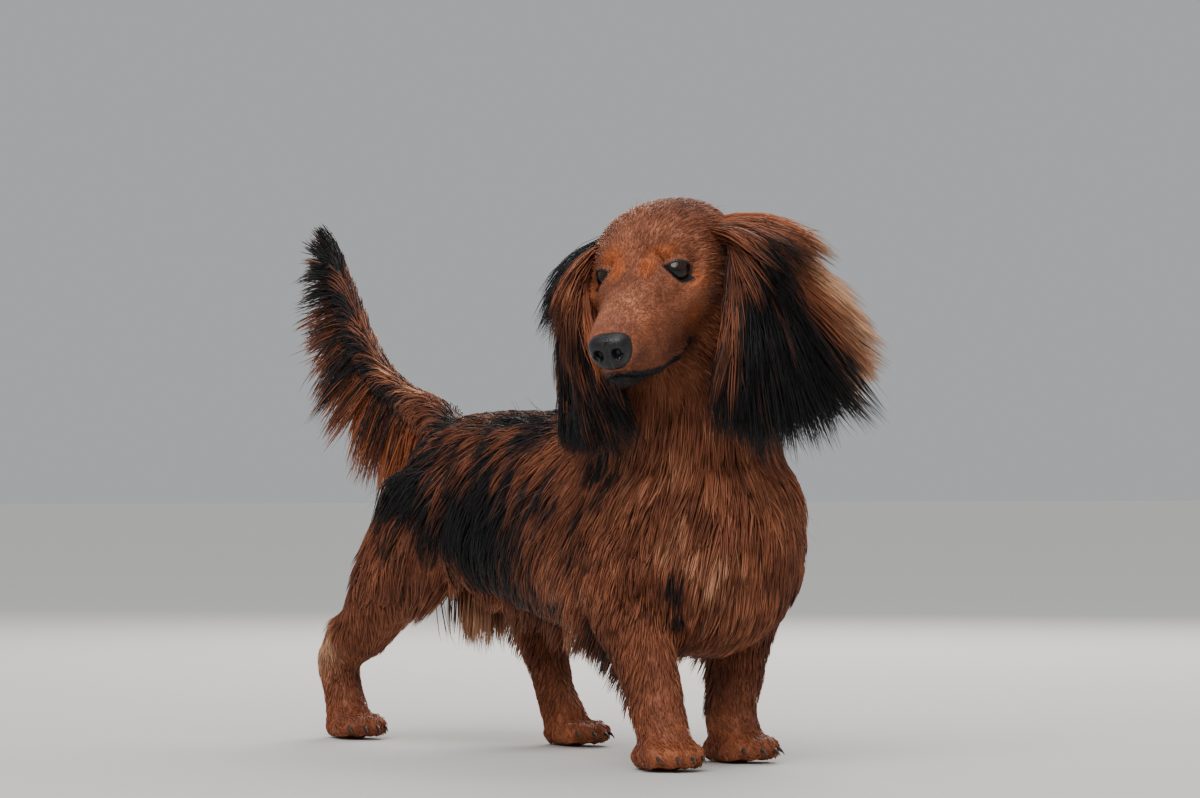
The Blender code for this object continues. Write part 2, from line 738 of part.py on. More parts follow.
def add_nose(head, parts, cutters):
    socket = hide_cutter(nose_pad("socket", cutters, JOINT_GAP))
    carve(head, socket, "DIFFERENCE")
    remove(socket)
    return nose_pad("nose", parts)


EAR_THICKNESS = 0.0032
# The ears' rows, root to tip: front edge and rear edge as side, ahead and up off the brow point, then the bulge
EAR_ROWS = {
    "left": [
        ((0.0400, -0.040, 0.0140), (0.0380, -0.086, 0.0110), 0.004),
        ((0.0480, -0.036, 0.0040), (0.0530, -0.092, -0.0020), 0.009),
        ((0.0480, -0.028, -0.0150), (0.0640, -0.095, -0.0200), 0.011),
        ((0.0460, -0.018, -0.0340), (0.0780, -0.096, -0.0400), 0.011),
        ((0.0430, -0.010, -0.0530), (0.0890, -0.094, -0.0620), 0.010),
        ((0.0430, -0.010, -0.0710), (0.0900, -0.088, -0.0820), 0.008),
        ((0.0490, -0.020, -0.0880), (0.0840, -0.078, -0.0980), 0.006),
        ((0.0580, -0.036, -0.1010), (0.0730, -0.062, -0.1070), 0.003),
    ],
    "right": [
        ((-0.0400, -0.042, 0.0130), (-0.0380, -0.088, 0.0100), 0.004),
        ((-0.0470, -0.026, 0.0000), (-0.0540, -0.070, -0.0060), 0.008),
        ((-0.0480, -0.012, -0.0160), (-0.0660, -0.062, -0.0240), 0.010),
        ((-0.0470, -0.002, -0.0350), (-0.0760, -0.056, -0.0430), 0.010),
        ((-0.0460, 0.003, -0.0550), (-0.0820, -0.050, -0.0630), 0.009),
        ((-0.0480, 0.003, -0.0730), (-0.0840, -0.044, -0.0810), 0.007),
        ((-0.0540, -0.002, -0.0890), (-0.0820, -0.036, -0.0950), 0.005),
        ((-0.0640, -0.012, -0.1000), (-0.0760, -0.026, -0.1030), 0.003),
    ],
}
EAR_COLUMNS = 7


def ear_point(side, along, across):
    """A point of the ear's outer face: along runs from the root to the tip, across from front to rear edge."""
    rows = EAR_ROWS[side]
    at = min(max(along, 0), 1) * (len(rows) - 1)
    low = min(int(at), len(rows) - 2)
    share = at - low
    front = Vector(rows[low][0]).lerp(Vector(rows[low + 1][0]), share)
    rear = Vector(rows[low][1]).lerp(Vector(rows[low + 1][1]), share)
    bulge = rows[low][2] * (1 - share) + rows[low + 1][2] * share
    out = Vector((SIDE_SIGN[side], 0.35, 0.25)).normalized()
    place = front.lerp(rear, across) + out * bulge * math.sin(math.pi * across) * 0.8
    fold = 0.0035 * math.sin(3 * math.pi * across) * min(1, 1.6 * along)
    return place + out * fold


def add_ear(side, parts):
    """A thin leather flap, cupped at its root and folded softly down its length."""
    flap = bmesh.new()
    count = 11
    rows = []
    for i in range(count):
        row = []
        for j in range(EAR_COLUMNS):
            side_way, ahead, up = ear_point(side, i / (count - 1), j / (EAR_COLUMNS - 1))
            row.append(flap.verts.new(head_point(side_way, ahead, up)))
        rows.append(row)
    for upper, lower in zip(rows, rows[1:]):
        for j in range(EAR_COLUMNS - 1):
            flap.faces.new((upper[j], lower[j], lower[j + 1], upper[j + 1]))
    bmesh.ops.triangulate(flap, faces=flap.faces)
    if side == "right":
        bmesh.ops.reverse_faces(flap, faces=flap.faces)
    ear = mesh_object("ear_" + side, flap, parts)
    leather = ear.modifiers.new("leather", "SOLIDIFY")
    leather.thickness = EAR_THICKNESS
    leather.offset = 0
    leather.use_even_offset = True
    evaluated_copy(ear)
    return ear


def clear_of(made, neighbours, cutters):
    """Cuts the object clear of its neighbours, by the joint gap."""
    for other in neighbours:
        cutter = grown(other, "cutter", cutters)
        carve(made, cutter, "DIFFERENCE", "MANIFOLD")
        remove(cutter)


LOCK_THICKNESS = 0.0042
LOCK_SINK = 0.0045
LOCK_CLEARANCE = 0.0030
LOCK_PROFILE = ((0.0, 0.75, 1.0), (0.32, 1.0, 1.0), (0.64, 0.72, 0.72), (0.87, 0.34, 0.46))
DOWN = Vector((0, 0, -1))


def skin_of(body):
    """The skin that locks are laid along."""
    shape = bmesh.new()
    shape.from_mesh(body.data)
    tree = BVHTree.FromBMesh(shape)
    shape.free()
    return tree


def lie_along(skin, root, heading, pull, length, hug, rise=0.0035):
    """The line of a lock: from under the skin at its root, turning from heading towards pull, clear of the skin."""
    start, out, _, _ = skin.find_nearest(root)
    line = [(start - out * LOCK_SINK if hug else root, out)]
    place = start if hug else root
    heading = heading.normalized()
    before = 0.0
    for share in [row[0] for row in LOCK_PROFILE[1:]] + [1.0]:
        step = heading.lerp(pull.normalized(), share * 0.6).normalized()
        place = place + step * length * (share - before)
        near, out, _, _ = skin.find_nearest(place)
        height = (place - near).dot(out)
        wanted = rise * min(1, share * 2.2) if hug else LOCK_CLEARANCE
        if hug or height < wanted:
            place = near + out * wanted
        line.append((place, out))
        before = share
    return line


def lock(line, width, flat, name, where):
    """A flat, tapered lock of hair with a diamond section, along a line. It lies flat against the given way."""
    shape = bmesh.new()
    places = [place for place, _ in line]
    rings = []
    for i, (share, broad, thick) in enumerate(LOCK_PROFILE):
        ahead = (places[i + 1] - places[max(i - 1, 0)]).normalized()
        out = flat if flat else line[i][1]
        side = ahead.cross(out).normalized()
        out = side.cross(ahead).normalized()
        across = side * (width * broad / 2)
        deep = out * (LOCK_THICKNESS * thick / 2)
        rings.append([shape.verts.new(places[i] + step) for step in (across, deep, -across, -deep)])
    tip = shape.verts.new(places[-1])
    for near, far in zip(rings, rings[1:]):
        for i in range(4):
            j = (i + 1) % 4
            shape.faces.new((near[i], near[j], far[j], far[i]))
    for i in range(4):
        shape.faces.new((rings[-1][i], rings[-1][(i + 1) % 4], tip))
    shape.faces.new(reversed(rings[0]))
    bmesh.ops.triangulate(shape, faces=shape.faces)
    bmesh.ops.recalc_face_normals(shape, faces=shape.faces)
    return hide_cutter(mesh_object(name, shape, where))


def tail_locks(skin, dice):
    """The flag of the tail: locks from under the bone, which swing out and then hang, and a tuft at its tip."""
    found = []
    line = [Vector(row[:3]) for row in through(TAIL_LINE, 8)]
    count = 18
    for i in range(count):
        share = 0.16 + 0.84 * i / (count - 1)
        at = min(int(share * (len(line) - 1)), len(line) - 2)
        along = (line[at + 1] - line[at]).normalized()
        under = Vector((0, along.z, -along.y))
        heading = under * 0.8 + DOWN * 0.45 + along * max(0, 3.0 * share - 1.9)
        heading.x = dice.uniform(-0.12, 0.12)
        pull = DOWN + Vector((0, -0.25 * share, 2.6 * max(0, share - 0.75)))
        length = (0.050 + 0.020 * math.sin(math.pi * min(1, share * 1.15))) * dice.uniform(0.92, 1.08)
        root = line[at] + Vector((0.0035 * (-1) ** i, 0, 0)) + under * 0.004
        found.append((lie_along(skin, root, heading, pull, length, False), 0.026, Vector((1, 0, 0))))
    heading = Vector((0, 0.35, 1))
    root = line[-1] - Vector((0, 0.004, 0.014))
    found.append((lie_along(skin, root, heading, heading, 0.026, False), 0.024, Vector((1, 0, 0))))
    return found


def ear_locks(skin, side, dice):
    """The fringe of an ear, fanned from high on its rear edge round to its front. Wind lifts the left one."""
    found = []
    turn = HEAD_FRAME.to_3x3()
    lift = 1.0 if side == "left" else 0.6
    count = 12
    for i in range(count):
        share = i / (count - 1)
        across = 0.97 - 0.90 * max(0, share * 1.3 - 0.3)
        along = 0.16 + 0.74 * math.sin(math.pi * min(1, share * 0.86)) ** 0.8 - 0.06 * (i % 2)
        root = head_point(*ear_point(side, along, across))
        above = head_point(*ear_point(side, along - 0.12, across))
        inward = head_point(*ear_point(side, along, across - 0.25))
        heading = (root - above).normalized() + (root - inward).normalized() * (0.25 + 0.5 * lift * across)
        pull = heading + DOWN * (0.9 - 0.5 * lift * across)
        length = 0.050 * dice.uniform(0.90, 1.10)
        flat = turn @ Vector((SIDE_SIGN[side] * 0.8, 0.5 - 0.6 * across, 0.15))
        found.append((lie_along(skin, root, heading, pull, length, False), 0.024, flat))
    return found


def sunk_root(skin, line):
    """Starts a hanging lock just under the skin that is nearest to it."""
    start, out, _, _ = skin.find_nearest(line[0][0])
    line[0] = (start - out * LOCK_SINK, out)
    return line


def belly_locks(skin, dice):
    """The fringe along the belly, which lies back, and the longer tuft that hangs before the thighs."""
    fringe = [(0.030 * (-1) ** i, 0.075 + 0.028 * i, 0.06) for i in range(7)]
    found = laid_locks(skin, dice, fringe, Vector((0, 1.0, -0.2)), Vector((0, 1.0, -0.4)), 0.042, 0.022)
    for line, _, _ in found:
        free_tip(line, Vector((0, 0.002, -0.008)))
    for side, behind in ((-0.034, 0.262), (-0.014, 0.266), (0.014, 0.266), (0.034, 0.262)):
        root = Vector((side, behind, 0.094))
        line = sunk_root(skin, lie_along(skin, root, Vector((0, 0.5, -1)), DOWN, 0.036, False))
        found.append((line, 0.022, Vector((1, 0, 0))))
    return found


def laid_locks(skin, dice, roots, heading, pull, length, width):
    """Locks that lie along the coat, one from each root."""
    found = []
    for root in roots:
        way = heading + Vector([dice.uniform(-0.16, 0.16) for _ in range(3)])
        long = length * dice.uniform(0.85, 1.15)
        found.append((lie_along(skin, Vector(root), way, pull, long, True), width * dice.uniform(0.9, 1.1), None))
    return found


def coat_locks(skin):
    """All the locks, by the piece that they grow from."""
    dice = random.Random(7)
    coat = {"tail": tail_locks(skin, dice), "torso": belly_locks(skin, dice)}
    for side in SIDE_SIGN:
        coat["ear_" + side] = ear_locks(skin, side, dice)
    breast = [(x, -0.10, z) for z in (0.148, 0.112) for x in (-0.042, -0.015, 0.015, 0.042)]
    coat["torso"] += laid_locks(skin, dice, breast, Vector((0, 0, -1)), DOWN, 0.050, 0.030)
    for sign in (1, -1):
        flank = [(sign * 0.1, y, z) for y, z in ((0.10, 0.165), (0.15, 0.140), (0.115, 0.112))]
        way = Vector((0, 0.75, -0.65))
        coat["torso"] += laid_locks(skin, dice, flank, way, Vector((0, 0.6, -0.8)), 0.058, 0.030)
    coat["neck"] = []
    for z, count, wide in ((0.240, 4, 0.050), (0.210, 5, 0.060)):
        ruff = [(-0.014 + wide * (2 * i / (count - 1) - 1), -0.095 + 0.02 * abs(i - 2), z) for i in range(count)]
        coat["neck"] += laid_locks(skin, dice, ruff, Vector((0, -0.1, -1)), DOWN, 0.046, 0.026)
    for side, sign in SIDE_SIGN.items():
        foot = FORE_FEET[side]
        feather = [(sign * 0.056, 0.07, 0.110), (sign * 0.044, 0.07, 0.098), (sign * 0.053, 0.06, 0.082)]
        feather += [(foot.x, 0.05, 0.060)]
        way = Vector((0, 0.55, -0.75))
        coat["foreleg_" + side] = laid_locks(skin, dice, feather, way, Vector((0, 0.7, -0.7)), 0.040, 0.021)
        for line, _, _ in coat["foreleg_" + side]:
            free_tip(line, Vector((0, 0.014, -0.003)))
        rear = 0.43 if side == "right" else 0.40
        breech = [(sign * x, rear, z) for x, z in ((0.032, 0.185), (0.054, 0.172), (0.038, 0.152))]
        breech += [(sign * x, rear + 0.02, z) for x, z in ((0.054, 0.132), (0.046, 0.110))]
        way = Vector((0, 0.30, -0.95))
        coat["hindleg_" + side] = laid_locks(skin, dice, breech, way, Vector((0, 0.5, -0.9)), 0.046, 0.026)
        for line, _, _ in coat["hindleg_" + side]:
            free_tip(line, Vector((0, 0.009, -0.002)))
    return coat


def free_tip(line, away):
    """Lets the outer half of a lock stand off the body."""
    for i, share in ((2, 0.3), (3, 0.7), (4, 1.0)):
        place, out = line[i]
        line[i] = (place + away * share, out)


# The order in which the pieces get their locks, and the pieces that each is then cut clear of
NEIGHBOURS = {
    "torso": ["neck", "tail", "foreleg_left", "foreleg_right", "hindleg_left", "hindleg_right"],
    "neck": ["head", "torso", "foreleg_left", "foreleg_right"],
    "tail": ["torso", "hindleg_left", "hindleg_right"],
    "foreleg_left": ["torso", "foreleg_right", "neck"],
    "foreleg_right": ["torso", "foreleg_left", "neck"],
    "hindleg_left": ["torso", "tail", "hindleg_right"],
    "hindleg_right": ["torso", "tail", "hindleg_left"],
    "ear_left": ["head", "neck", "torso"],
    "ear_right": ["head", "neck", "torso"],
}


def grow_coat(made, locks, neighbours, cutters):
    """Joins the locks to their piece by one union, then cuts them clear of the neighbours."""
    strands = bpy.data.collections.new("locks")
    bpy.context.scene.collection.children.link(strands)
    for i, (line, width, flat) in enumerate(locks):
        lock(line, width, flat, f"lock_{i}", strands)
    join = made.modifiers.new("locks", "BOOLEAN")
    join.operation = "UNION"
    join.solver = "MANIFOLD"
    join.operand_type = "COLLECTION"
    join.collection = strands
    evaluated_copy(made)
    for strand in list(strands.objects):
        bpy.data.objects.remove(strand)
    bpy.data.collections.remove(strands)
    keep_largest(made)
    clear_of(made, neighbours, cutters)


def centre_on_floor(parts):
    """Moves the dog so that its origin is on the floor under the middle of its box."""
    everything = np.vstack([points_of(made.data) for made in parts.objects])
    low, high = everything.min(axis=0), everything.max(axis=0)
    shift = Vector((-(low[0] + high[0]) / 2, -(low[1] + high[1]) / 2, -low[2]))
    for made in parts.objects:
        made.data.transform(Matrix.Translation(shift))
    return shift


def paint(pieces):
    looks = {
        "red": material("red coat", COAT_COLOURS["red"], 0.62),
        "dark": material("dark coat", COAT_COLOURS["dark"], 0.60),
        "black": material("nose leather", COAT_COLOURS["black"], 0.38),
        "eye": material("eye", COAT_COLOURS["eye"], 0.05),
    }
    for name, made in pieces.items():
        look = "red"
        if name == "nose":
            look = "black"
        elif name.startswith("eye"):
            look = "eye"
        elif name.startswith(("ear", "tail", "torso")):
            look = "dark"
        made.data.materials.clear()
        made.data.materials.append(looks[look])
        made.data.shade_smooth()
        made.data.set_sharp_from_angle(angle=math.radians(50))


def build_clay(collection):
    body = whole_body(collection)
    blend_joins(body)
    model_face(body)
    return body


def main():
    clear_scene()
    parts = bpy.data.collections.new("dachshund")
    cutters = bpy.data.collections.new("cutters")
    for made in (parts, cutters):
        bpy.context.scene.collection.children.link(made)
    body = build_clay(parts)
    skin = skin_of(body)
    pieces = part_clay(body, parts, cutters)
    for side in SIDE_SIGN:
        ear = add_ear(side, parts)
        pieces[ear.name] = ear
    coat = coat_locks(skin)
    for name, others in NEIGHBOURS.items():
        grow_coat(pieces[name], coat[name], [pieces[other] for other in others], cutters)
    add_mouth(pieces["head"], cutters)
    pieces["nose"] = add_nose(pieces["head"], parts, cutters)
    pieces.update(add_eyes(pieces["head"], parts, cutters))
    paint(pieces)
    return centre_on_floor(parts)


SHIFT = main()
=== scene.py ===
import math

import bmesh
import bpy
import numpy as np
from mathutils import Matrix, Vector
from mathutils.bvhtree import BVHTree
from mathutils.kdtree import KDTree


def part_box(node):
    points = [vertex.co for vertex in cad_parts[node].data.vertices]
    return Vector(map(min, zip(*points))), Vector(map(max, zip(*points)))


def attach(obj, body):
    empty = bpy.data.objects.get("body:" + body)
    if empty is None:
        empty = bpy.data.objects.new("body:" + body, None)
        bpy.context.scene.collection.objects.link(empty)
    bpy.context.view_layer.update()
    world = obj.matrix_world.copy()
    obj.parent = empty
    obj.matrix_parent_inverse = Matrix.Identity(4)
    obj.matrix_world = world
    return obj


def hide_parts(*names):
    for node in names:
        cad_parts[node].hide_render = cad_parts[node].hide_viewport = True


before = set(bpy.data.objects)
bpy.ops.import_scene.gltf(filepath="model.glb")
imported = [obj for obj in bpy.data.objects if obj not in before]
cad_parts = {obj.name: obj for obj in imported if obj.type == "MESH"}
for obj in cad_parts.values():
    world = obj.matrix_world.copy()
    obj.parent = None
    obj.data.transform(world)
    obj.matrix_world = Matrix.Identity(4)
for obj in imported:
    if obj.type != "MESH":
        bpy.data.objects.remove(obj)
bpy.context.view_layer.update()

# Trunk: the deep chest, long back and tucked loin of a standing dachshund.
# It starts as clay, lofted through cross sections, which is melted into one skin once the tail is on.
# Distances are in metres. The dog faces -Y with its left side to +X, and is set on the frame further down.
BACK_HEIGHT = 0.243
BODY_LENGTH = 0.430
CHEST_WIDTH = 0.152
CHEST_FLOOR = 0.074
CHEST_FRONT = -0.072


def through(rows, steps):
    """Rows of numbers read from a smooth curve that passes through the given rows."""
    rows = np.array(rows, float)
    padded = np.vstack([2 * rows[0] - rows[1], rows, 2 * rows[-1] - rows[-2]])
    found = []
    for i in range(len(rows) - 1):
        p0, p1, p2, p3 = padded[i:i + 4]
        for k in range(steps):
            t = k / steps
            bend = 2 * p0 - 5 * p1 + 4 * p2 - p3 + t * (3 * p1 - p0 - 3 * p2 + p3)
            found.append(p1 + 0.5 * t * (p2 - p0 + t * bend))
    found.append(rows[-1])
    return np.array(found)


def add_loft(clay, rings):
    """Adds a closed loft through rings of as many points each."""
    loops = [[clay.verts.new(p) for p in ring] for ring in rings]
    for near, far in zip(loops, loops[1:]):
        for i in range(len(near)):
            j = (i + 1) % len(near)
            clay.faces.new((near[i], near[j], far[j], far[i]))
    clay.faces.new(reversed(loops[0]))
    clay.faces.new(loops[-1])


def add_sections(clay, rows, place, power=2.2, count=36):
    """Adds a loft of upright sections. A row is distance along, top, widest level, bottom, half width."""
    rings = []
    for along, top, level, bottom, half in through(rows, 5):
        ring = []
        for i in range(count):
            angle = 2 * math.pi * i / count
            c, s = math.cos(angle), math.sin(angle)
            across = math.copysign(abs(c) ** (2 / power), c)
            rise = math.copysign(abs(s) ** (2 / power), s)
            tall = top - level if rise > 0 else level - bottom
            ring.append(place(across * half, along, level + rise * tall))
        rings.append(ring)
    add_loft(clay, rings)


clay = bmesh.new()
# A row is a share of the length, then shares of the height, the widest level, the floor and the width.
trunk = [
    (0.000, 0.70, 0.60, 2.30, 0.20),
    (0.018, 0.78, 0.60, 1.72, 0.42),
    (0.055, 0.87, 0.59, 1.24, 0.66),
    (0.120, 0.95, 0.58, 1.02, 0.88),
    (0.200, 0.99, 0.58, 0.98, 0.98),
    (0.300, 1.00, 0.58, 1.00, 0.98),
    (0.430, 0.99, 0.60, 1.10, 0.93),
    (0.560, 0.985, 0.64, 1.24, 0.86),
    (0.690, 0.99, 0.66, 1.38, 0.81),
    (0.810, 0.985, 0.68, 1.48, 0.80),
    (0.890, 0.965, 0.70, 1.60, 0.74),
    (0.945, 0.920, 0.71, 1.80, 0.60),
    (0.980, 0.850, 0.71, 2.10, 0.42),
    (0.998, 0.770, 0.71, 2.50, 0.20),
]
size = np.array((BODY_LENGTH, BACK_HEIGHT, BACK_HEIGHT, CHEST_FLOOR, CHEST_WIDTH / 2))
front = np.array((CHEST_FRONT, 0, 0, 0, 0))
add_sections(clay, np.array(trunk) * size + front, lambda x, y, z: Vector((x, y, z)))

# Neck and head: a strong neck that leans forward, and a long narrow head turned to the dog's right.
# The head has a frame of its own at the brow, so that both its sides are made alike.
BROW_POINT = Vector((-0.085, -0.0655, 0.3235))
HEAD_FRAME = (
    Matrix.Translation(BROW_POINT)
    @ Matrix.Rotation(math.radians(-49.5), 4, "Z")
    @ Matrix.Rotation(math.radians(19), 4, "X")
    @ Matrix.Rotation(math.radians(-6), 4, "Y")
)


def head_point(side, ahead, up):
    """A point of the head, from the dog's left, ahead and up distances off the brow point."""
    return HEAD_FRAME @ Vector((side, -ahead, up))


def add_limb(clay, rows, count=24):
    """Adds a limb. A row is its centre, then half its thickness across and fore-and-aft."""
    path = through(rows, 5)
    rings = []
    for row, heading in zip(path, np.gradient(path[:, :3], axis=0)):
        along = Vector(heading).normalized()
        side = Vector((1, 0, 0))
        side = (side - along * side.dot(along)).normalized()
        deep = along.cross(side)
        ring = []
        for i in range(count):
            turn = 2 * math.pi * i / count
            ring.append(Vector(row[:3]) + side * row[3] * math.cos(turn) + deep * row[4] * math.sin(turn))
        rings.append(ring)
    add_loft(clay, rings)


nape = head_point(0, -0.055, -0.012)
neck = [
    (0.000, 0.030, 0.165, 0.072, 0.078),
    (-0.004, 0.012, 0.205, 0.067, 0.070),
    (-0.018, -0.006, 0.240, 0.057, 0.059),
    (-0.033, -0.022, 0.275, 0.047, 0.051),
    (nape.x, nape.y, nape.z, 0.042, 0.046),
]
add_limb(clay, neck)
# The skull runs into the upper muzzle and the lower jaw lies under it, both from the back of the head on.
skull = [
    (-0.106, 0.010, 0.000, -0.022, 0.018),
    (-0.096, 0.021, 0.000, -0.038, 0.033),
    (-0.078, 0.0290, -0.003, -0.050, 0.0430),
    (-0.058, 0.0325, -0.005, -0.056, 0.0465),
    (-0.038, 0.0315, -0.007, -0.056, 0.0452),
    (-0.018, 0.0255, -0.011, -0.055, 0.0412),
    (0.000, 0.0155, -0.017, -0.053, 0.0352),
    (0.015, 0.0070, -0.022, -0.0510, 0.0292),
    (0.030, 0.0010, -0.026, -0.0500, 0.0250),
    (0.048, -0.0040, -0.028, -0.0490, 0.0218),
    (0.064, -0.0080, -0.029, -0.0455, 0.0195),
    (0.076, -0.0110, -0.028, -0.0410, 0.0168),
    (0.084, -0.0160, -0.028, -0.0375, 0.0115),
]
jaw = [
    (-0.062, -0.014, -0.034, -0.055, 0.0300),
    (-0.038, -0.020, -0.040, -0.0625, 0.0330),
    (-0.010, -0.026, -0.046, -0.0630, 0.0275),
    (0.018, -0.032, -0.049, -0.0610, 0.0220),
    (0.044, -0.036, -0.049, -0.0580, 0.0175),
    (0.064, -0.036, -0.047, -0.0545, 0.0135),
    (0.074, -0.038, -0.0450, -0.0500, 0.0085),
]
for rows in (skull, jaw):
    add_sections(clay, rows, head_point, power=2.15)

# Legs and paws: short and strong, with the elbows close to the chest and the right hind leg stretched back.
# Each paw is a pad with four arched toes. The feet stand on the floor and turn out a little.
SIDES = {"left": 1, "right": -1}
FORE_FEET = {"left": Vector((0.041, 0.020, 0)), "right": Vector((-0.046, -0.030, 0))}
HIND_FEET = {"left": Vector((0.045, 0.242, 0)), "right": Vector((-0.048, 0.402, 0))}
STIFLES = {"left": 0.306, "right": 0.300}
HOCKS = {"left": HIND_FEET["left"].y + 0.036, "right": HIND_FEET["right"].y + 0.018}
PAW_WIDTH = 0.044
PAWS = {
    "fore": (FORE_FEET, PAW_WIDTH, math.radians(8)),
    "hind": (HIND_FEET, PAW_WIDTH * 0.90, math.radians(4)),
}


def add_ball(clay, centre, radii, turn=Matrix.Identity(4)):
    place = Matrix.Translation(centre) @ turn @ Matrix.Diagonal((*radii, 1))
    bmesh.ops.create_uvsphere(clay, u_segments=24, v_segments=16, radius=1, matrix=place)


def toe_places(foot, width, splay):
    """Centre of each of a paw's four toes, outer to inner, and the paw's turn."""
    turn = Matrix.Rotation(splay, 4, "Z")
    places = []
    for share, ahead in ((-0.36, 0.016), (-0.125, 0.0235), (0.125, 0.0235), (0.36, 0.016)):
        places.append(foot + turn @ Vector((share * width, -ahead, 0.0085)))
    return places, turn


def add_paw(clay, pair, side):
    """The pad and four arched toes, each with a knuckle."""
    feet, width, splay = PAWS[pair]
    foot = feet[side]
    add_ball(clay, foot + Vector((0, 0.002, 0.0085)), (width * 0.42, 0.024, 0.0115))
    centres, turn = toe_places(foot, width, SIDES[side] * splay)
    for centre in centres:
        add_ball(clay, centre + Vector((0, 0, 0.0012)), (width * 0.142, 0.0145, 0.0098), turn)


for side, sign in SIDES.items():
    foot = FORE_FEET[side]
    add_ball(clay, Vector((sign * 0.043, -0.002, 0.158)), (0.029, 0.048, 0.056))
    foreleg = [
        (sign * 0.050, -0.008, 0.150, 0.026, 0.040),
        (sign * 0.052, 0.014 + 0.2 * foot.y, 0.116, 0.0250, 0.034),
        (0.5 * sign * 0.052 + 0.5 * foot.x, 0.010 + 0.5 * foot.y, 0.086, 0.0220, 0.0270),
        (0.2 * sign * 0.052 + 0.8 * foot.x, 0.004 + 0.8 * foot.y, 0.056, 0.0180, 0.0210),
        (foot.x, foot.y + 0.002, 0.034, 0.0170, 0.0185),
        (foot.x, foot.y - 0.004, 0.014, 0.0180, 0.0200),
    ]
    add_limb(clay, foreleg)
    add_paw(clay, "fore", side)
    foot, stifle, hock = HIND_FEET[side], STIFLES[side], HOCKS[side]
    hindleg = [
        (sign * 0.034, 0.300, 0.190, 0.035, 0.056),
        (sign * 0.043, 0.5 * (0.298 + stifle), 0.152, 0.033, 0.052),
        (sign * 0.049, 0.7 * stifle + 0.3 * hock, 0.118, 0.0265, 0.036),
        (sign * 0.049, 0.4 * stifle + 0.6 * hock, 0.086, 0.0200, 0.0240),
        (sign * 0.048, hock, 0.060, 0.0155, 0.0175),
        (foot.x, 0.45 * hock + 0.55 * foot.y + 0.004, 0.036, 0.0145, 0.0155),
        (foot.x, foot.y + 0.003, 0.014, 0.0160, 0.0180),
    ]
    add_limb(clay, hindleg)
    add_paw(clay, "hind", side)

# Tail: carried high in a curve behind the dog, and tapered from the rump to its tip.
# A row is a point of the bone, then half the thickness across and the other way.
TAIL_LINE = [
    (0.000, 0.330, 0.215, 0.024, 0.024),
    (0.000, 0.362, 0.235, 0.017, 0.018),
    (0.000, 0.400, 0.248, 0.0135, 0.0135),
    (0.000, 0.438, 0.264, 0.0130, 0.0130),
    (0.000, 0.472, 0.290, 0.0128, 0.0128),
    (0.000, 0.498, 0.322, 0.0120, 0.0120),
    (0.000, 0.517, 0.352, 0.0098, 0.0098),
    (0.000, 0.528, 0.374, 0.0060, 0.0060),
]
add_limb(clay, TAIL_LINE)

# Skin: all the clay is melted into one close mesh.
# Then it is smoothed, much on the trunk and little on the head and the paws, which keep their detail.
SKIN_GRAIN = 0.0027


def mesh_object(name, shape):
    mesh = bpy.data.meshes.new(name)
    shape.to_mesh(mesh)
    shape.free()
    made = bpy.data.objects.new(name, mesh)
    bpy.context.scene.collection.objects.link(made)
    return made


def apply_modifiers(piece):
    bpy.ops.object.select_all(action="DESELECT")
    bpy.context.view_layer.objects.active = piece
    piece.select_set(True)
    for modifier in list(piece.modifiers):
        bpy.ops.object.modifier_apply(modifier=modifier.name)
    piece.select_set(False)


def points_of(mesh):
    found = np.empty(len(mesh.vertices) * 3, np.float32)
    mesh.vertices.foreach_get("co", found)
    return found.reshape(-1, 3).astype(float)


def to_head(points):
    """Points in the head's own frame, as side, ahead and up."""
    back = np.array(HEAD_FRAME.inverted())
    return (points @ back[:3, :3].T + back[:3, 3]) * (1, -1, 1)


skin = mesh_object("skin", clay)
melt = skin.modifiers.new("melt", "REMESH")
melt.mode = "VOXEL"
melt.voxel_size = SKIN_GRAIN
apply_modifiers(skin)

points = points_of(skin.data)
local = to_head(points)
on_head = 1 / (1 + np.exp(-(local[:, 1] + 0.080) / 0.006))
on_head[points[:, 1] > 0.10] = 0
on_paw = np.exp(-np.clip(points[:, 2] - 0.012, 0, 1) / 0.012)
soft = skin.vertex_groups.new(name="soft")
fine = skin.vertex_groups.new(name="fine")
for i, weight in enumerate(np.clip(1 - on_head - on_paw, 0, 1)):
    soft.add([i], float(weight), "REPLACE")
    fine.add([i], 1.0, "REPLACE")
for name, turns in (("soft", 23), ("fine", 3)):
    smooth = skin.modifiers.new(name, "SMOOTH")
    smooth.factor = 0.6
    smooth.iterations = turns
    smooth.vertex_group = name
apply_modifiers(skin)
skin.vertex_groups.clear()

# The lie of the coat: which way the hair runs, how long it is, how much it stands off and how deep it is.
# A guide is a place on the body, a way, and then length, lift and depth in millimetres.
# Between guides the coat turns smoothly from one to the next.
GUIDE_PLACES = []
GUIDE_WAYS = []
GUIDE_HAIR = []
GUIDE_REACH = []


def guide(place, way, length, lift, depth, reach=0.026):
    GUIDE_PLACES.append(Vector(place))
    GUIDE_WAYS.append(Vector(way).normalized())
    GUIDE_HAIR.append((length / 1000, lift, depth / 1000))
    GUIDE_REACH.append(reach)


def guide_both(place, way, length, lift, depth, reach=0.026):
    for sign in (1, -1):
        guide((sign * place[0], *place[1:]), (sign * way[0], *way[1:]), length, lift, depth, reach)


def head_way(side, ahead, up):
    return HEAD_FRAME.to_3x3() @ Vector((side, -ahead, up))


def guide_head(place, way, length, lift, depth, reach=0.011):
    for sign in (1, -1):
        place_here = head_point(sign * place[0], *place[1:])
        guide(place_here, head_way(sign * way[0], *way[1:]), length, lift, depth, reach)


